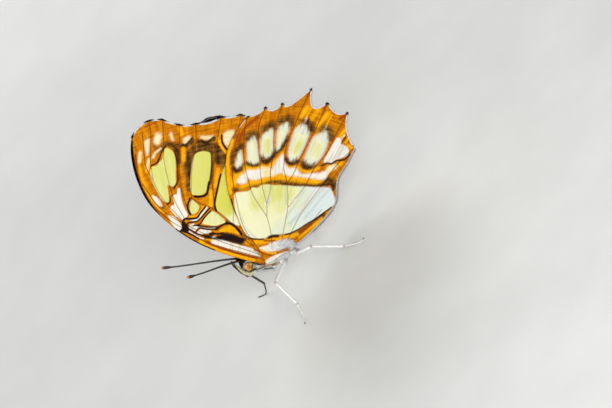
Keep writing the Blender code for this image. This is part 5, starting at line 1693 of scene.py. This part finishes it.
def palp_material():
    """A brush of fine scales: dull cream sides and a dark ridge down the front."""
    material, tree, shader = new_material("palp_scales_brushed", 0.65, Specular_IOR_Level=0.2)
    spot = add(tree, "TexCoord", {}, "Object")
    # about three tenths of a millimetre, three times a real scale
    grain = add(tree, "TexNoise", {"Vector": spot, "Scale": 3.5 * PER_MM, "Detail": 2.0})
    inner = add(tree, "ValToRGB", {0: grain}, stops=[(0.3, "#C9C48A"), (0.7, "#EFEBCB")])
    ridge = add(tree, "ValToRGB", {0: grain}, stops=[(0.3, "#241008"), (0.7, "#7A4010")])
    front = add(tree, "Attribute", {}, "Fac", attribute_name="ridge")
    tree.links.new(layered(tree, inner, [(front, ridge)]), shader.inputs["Base Color"])
    bump = add(tree, "Bump", {"Height": grain, "Strength": 0.4, "Distance": 0.00003})
    tree.links.new(bump, shader.inputs["Normal"])
    return material


palp_scales = palp_material()
print("nodes in the palp material:", len(palp_scales.node_tree.nodes))

# %% [markdown]
# The hair of palps and legs grows at random places of the tube and lies along it.

# %% Hair round a tube
def tube_coat(name, path, radius, count, seed, length, width, lift, side_number, material, slot):
    """Short hair all round a tube, lying along it; each tuft takes its root's number."""
    rng = np.random.default_rng(seed)
    heading = np.gradient(path, axis=0)
    heading /= np.linalg.norm(heading, axis=1)[:, None]
    radii = np.interp(np.linspace(0, 1, len(path)), np.linspace(0, 1, len(radius)), radius)
    spots = rng.integers(1, len(path) - 1, count)
    outward = rng.normal(size=(count, 3))
    outward = unit(outward - heading[spots] * np.sum(outward * heading[spots], axis=1)[:, None])
    shift = heading[spots] * rng.uniform(-0.1, 0.1, (count, 1))
    roots = path[spots] + outward * radii[spots][:, None] * 0.95 + shift
    leads = heading[spots] + rng.normal(0, 0.12, (count, 3))
    turn = np.arctan2(outward[:, 1], outward[:, 2]) / (2 * math.pi)
    spread = np.stack([0.5 + 0.9 * turn, 0.02 + 0.96 * spots / len(path)], axis=1)
    lengths = length * rng.uniform(0.7, 1.2, count)
    mesh = tuft_mesh(name, roots, outward, leads, lengths, width, lift, spread)
    for kind, values in side_number(outward, spots / len(path)).items():
        set_numbers(mesh, kind, per_tuft(values))
    dress(name, mesh, material, slot)
    print(name, count)

# %% [markdown]
# A dark line runs down the front of each palp, on the tube and on its hair.

# %% Palps
def palp_ridge(outward, along):
    """The dark line down a palp's front, wider toward its tip."""
    return smooth((-outward[:, 0] + outward[:, 2] * 0.4 + 0.9 * along - 0.7) / 0.5)


for label, side in SIDES.items():
    path = respaced(smooth_through([mirrored(p, side) for p in PALP_PATH], 0.2), 0.12)
    points, faces, along, outward = tube(path, PALP_RADII, 18)
    mesh = mesh_of(f"palp_brush_{label}", points, faces)
    set_numbers(mesh, "ridge", palp_ridge(outward, along))
    dress(mesh.name, mesh, palp_scales, "palp_scales", f"palp_{label}")
    tube_coat(f"palp_{label}_hair", path, PALP_RADII, int(1400 * MANY), 51 + side, 0.42, 0.03, 0.45,
              lambda outward, along: {"ridge": palp_ridge(outward, along)}, palp_scales, "palp_scales")

# %% [markdown]
# At rest the tongue lies coiled between the palps like a watch spring.

# %% Tongue
COIL_TURNS = 1.1
COIL_START = math.radians(54)


def tongue_path():
    """A flat coil that tightens by 0.55 mm with each turn."""
    turn = np.linspace(0, 1, 70)
    angle = COIL_START + 2 * np.pi * COIL_TURNS * turn
    reach = 0.66 - 0.55 * COIL_TURNS * turn
    return np.stack([-6.1 + reach * np.cos(angle), 0 * turn, 12.55 + reach * np.sin(angle)], axis=1)


def tongue_material():
    """Smooth hard skin with fine rings: dark, with a soft gleam."""
    material, tree, shader = new_material("tongue_chitin_ringed", 0.35, IOR=1.56)
    spot = add(tree, "TexCoord", {}, "Object")
    # the real rings are too fine to show
    rings = add(tree, "TexWave", {"Vector": spot, "Scale": 2.6 * PER_MM, "Distortion": 1.0}, "Fac")
    tone = add(tree, "ValToRGB", {0: rings}, stops=[(0.2, "#1C120C"), (0.8, "#4A3018")])
    tree.links.new(tone, shader.inputs["Base Color"])
    return material


mesh = mesh_of("tongue_coil", *tube(tongue_path(), [0.2, 0.17, 0.12, 0.09], 14)[:2])
dress(mesh.name, mesh, tongue_material(), "tongue", "proboscis")
print(mesh.name, len(mesh.vertices), "points")

# %% [markdown]
# ## Legs
# A walking leg has a thick femur, a thinner tibia and a foot of five short segments
# that ends in two claws; the tibia's tiny spurs are left out. The outer side is
# white and the inner side dark, and the joints are brown. Short scales roughen it.

# %% Leg finish
def leg_material():
    """Hard insect skin under flat white scales: almost dull, dark on the inner side."""
    material, tree, shader = new_material("leg_chitin_scaled", 0.5, IOR=1.56)
    spot = add(tree, "TexCoord", {}, "Object")
    # about three tenths of a millimetre, three times a real scale
    grain = add(tree, "TexNoise", {"Vector": spot, "Scale": 3.2 * PER_MM, "Detail": 2.0})
    outer = add(tree, "ValToRGB", {0: grain}, stops=[(0.3, "#E2DCD8"), (0.55, "#FAF8F6")])
    inner = add(tree, "ValToRGB", {0: grain}, stops=[(0.3, "#1C130C"), (0.7, "#4A3A24")])
    dark = add(tree, "Attribute", {}, "Fac", attribute_name="inner")
    knee = add(tree, "Attribute", {}, "Fac", attribute_name="joint")
    tone = layered(tree, outer, [(dark, inner), (knee, colour("#7A4E1C"))])
    tree.links.new(tone, shader.inputs["Base Color"])
    bump = add(tree, "Bump", {"Height": grain, "Strength": 0.3, "Distance": 0.00002})
    tree.links.new(bump, shader.inputs["Normal"])
    return material


leg_chitin = leg_material()
print("nodes in the leg material:", len(leg_chitin.node_tree.nodes))

# %% [markdown]
# A leg is drawn from hip to toe as one line with a radius at each point. Its knee
# stays sharp, and its foot narrows between its segments.

# %% Legs
FOOT_SEGMENTS = 5
KNEE_BROWN = 0.35  # mm to each side of a joint


def leg_line(spots):
    """Points along a leg from hip to toe, with the knee kept sharp, and each point's radius."""
    hip, knee, ankle, arch, heel, toe = (np.array(p, float) for p in spots[1:])
    femur = respaced([hip, knee], 0.2)
    tibia = respaced([knee, ankle], 0.2)
    foot = respaced(smooth_through([ankle, arch, heel, toe], 0.2), 0.1)
    t = np.linspace(0, 1, len(femur))
    femur_radius = 0.28 + 0.16 * np.sin(np.pi * (0.1 + 0.75 * t)) - 0.05 * smooth((t - 0.9) / 0.1)
    t = np.linspace(0, 1, len(tibia))
    tibia_radius = 0.22 + 0.06 * np.sin(np.pi * t * 0.8) + 0.03 * smooth((t - 0.85) / 0.15)
    t = np.linspace(0, 1, len(foot))
    foot_radius = 0.18 - 0.03 * t - 0.03 * np.abs(np.cos(np.pi * FOOT_SEGMENTS * t)) ** 6
    path = np.concatenate([femur, tibia[1:], foot[1:]])
    radius = np.concatenate([femur_radius, tibia_radius[1:], foot_radius[1:]])
    joint = np.minimum(np.linalg.norm(path - knee, axis=1), np.linalg.norm(path - ankle, axis=1))
    return path, radius, joint


def claws(toe, ahead):
    """Two small hooked claws at the tip of a foot."""
    turned = np.cross(ahead, (0, 0, 1))
    reach = ((-0.05, 0.02), (0.14, 0.08), (0.28, 0.02), (0.34, -0.08))
    shells = []
    for hook in (-1, 1):
        line = [toe + ahead * d + turned * hook * (0.05 + 0.3 * d) + np.array((0, 0, h))
                for d, h in reach]
        shells.append(tube(line, [0.05, 0.045, 0.03, 0.012], 8)[:2])
    return shells


def inner_side(side):
    """Dark on the side of a leg that faces the body."""
    def numbers(outward, along):
        return {"inner": smooth((-side * outward[:, 1] - 0.1) / 0.5), "joint": 0 * along}
    return numbers


print("longest femur in mm:",
      max(np.linalg.norm(np.subtract(spots[2], spots[1])) for spots in LEGS.values()).round(2))

# %% [markdown]
# Nothing moves, so one tube stands for all three segments of a leg.

# %% Making the legs
def make_leg(name, spots, material):
    """One tube for the whole leg, its claws, and its coat of short scales."""
    path, radius, joint = leg_line(spots)
    points, faces, along, outward = tube(path, radius, 14)
    away = 1 if spots[2][1] > 0 else -1
    heading = path[-1] - path[-3]
    shells = claws(path[-1], heading / np.linalg.norm(heading))
    all_points, all_faces = joined([(points, faces)] + shells)
    all_points[:, 2] = np.maximum(all_points[:, 2], OVER_FLOOR)
    mesh = mesh_of(f"{name}_chitin", all_points, all_faces)
    extra = len(all_points) - len(points)
    inner = inner_side(away)(outward, along)["inner"]
    shares = np.interp(along, np.linspace(0, 1, len(path)), joint)
    set_numbers(mesh, "inner", np.concatenate([inner, np.ones(extra)]))
    brown = 0.8 * smooth(1 - shares / KNEE_BROWN)
    set_numbers(mesh, "joint", np.concatenate([brown, np.zeros(extra)]))
    segments = [f"{name}_{part}" for part in ("femur", "tibia", "tarsus")]
    dress(mesh.name, mesh, material, "leg", *segments)
    tube_coat(f"{name}_scales", path, radius, int(900 * MANY), len(name), 0.26, 0.03, 0.3,
              inner_side(away), material, "leg")


for name, spots in LEGS.items():
    make_leg(name, spots, leg_chitin)

# %% [markdown]
# The front legs of this family are small hairy brushes that don't reach the floor.
# They lie folded against the breast.

# %% Front legs
FORELEG_PATH = [(-1.0, 1.8, 9.8), (-1.3, 2.0, 9.45), (-3.85, 1.6, 12.1), (-4.0, 1.9, 12.45),
                (-2.4, 2.45, 11.95)]
FORELEG_RADII = [0.26, 0.28, 0.24, 0.2, 0.12]


def upper_side(outward, along):
    """Darker on top."""
    return {"inner": 0.7 * smooth((outward[:, 2] + 0.1) / 0.5), "joint": 0 * along}


for label, side in SIDES.items():
    path = respaced([mirrored(p, side) for p in FORELEG_PATH], 0.15)
    points, faces, along, outward = tube(path, FORELEG_RADII, 12)
    mesh = mesh_of(f"foreleg_{label}_brush", points, faces)
    for kind, values in upper_side(outward, along).items():
        set_numbers(mesh, kind, values)
    dress(mesh.name, mesh, leg_chitin, "leg", f"foreleg_{label}")
    tube_coat(f"foreleg_{label}_hair", path, FORELEG_RADII, int(900 * MANY), 61 + side, 0.5, 0.03,
              0.5, upper_side, leg_chitin, "leg")
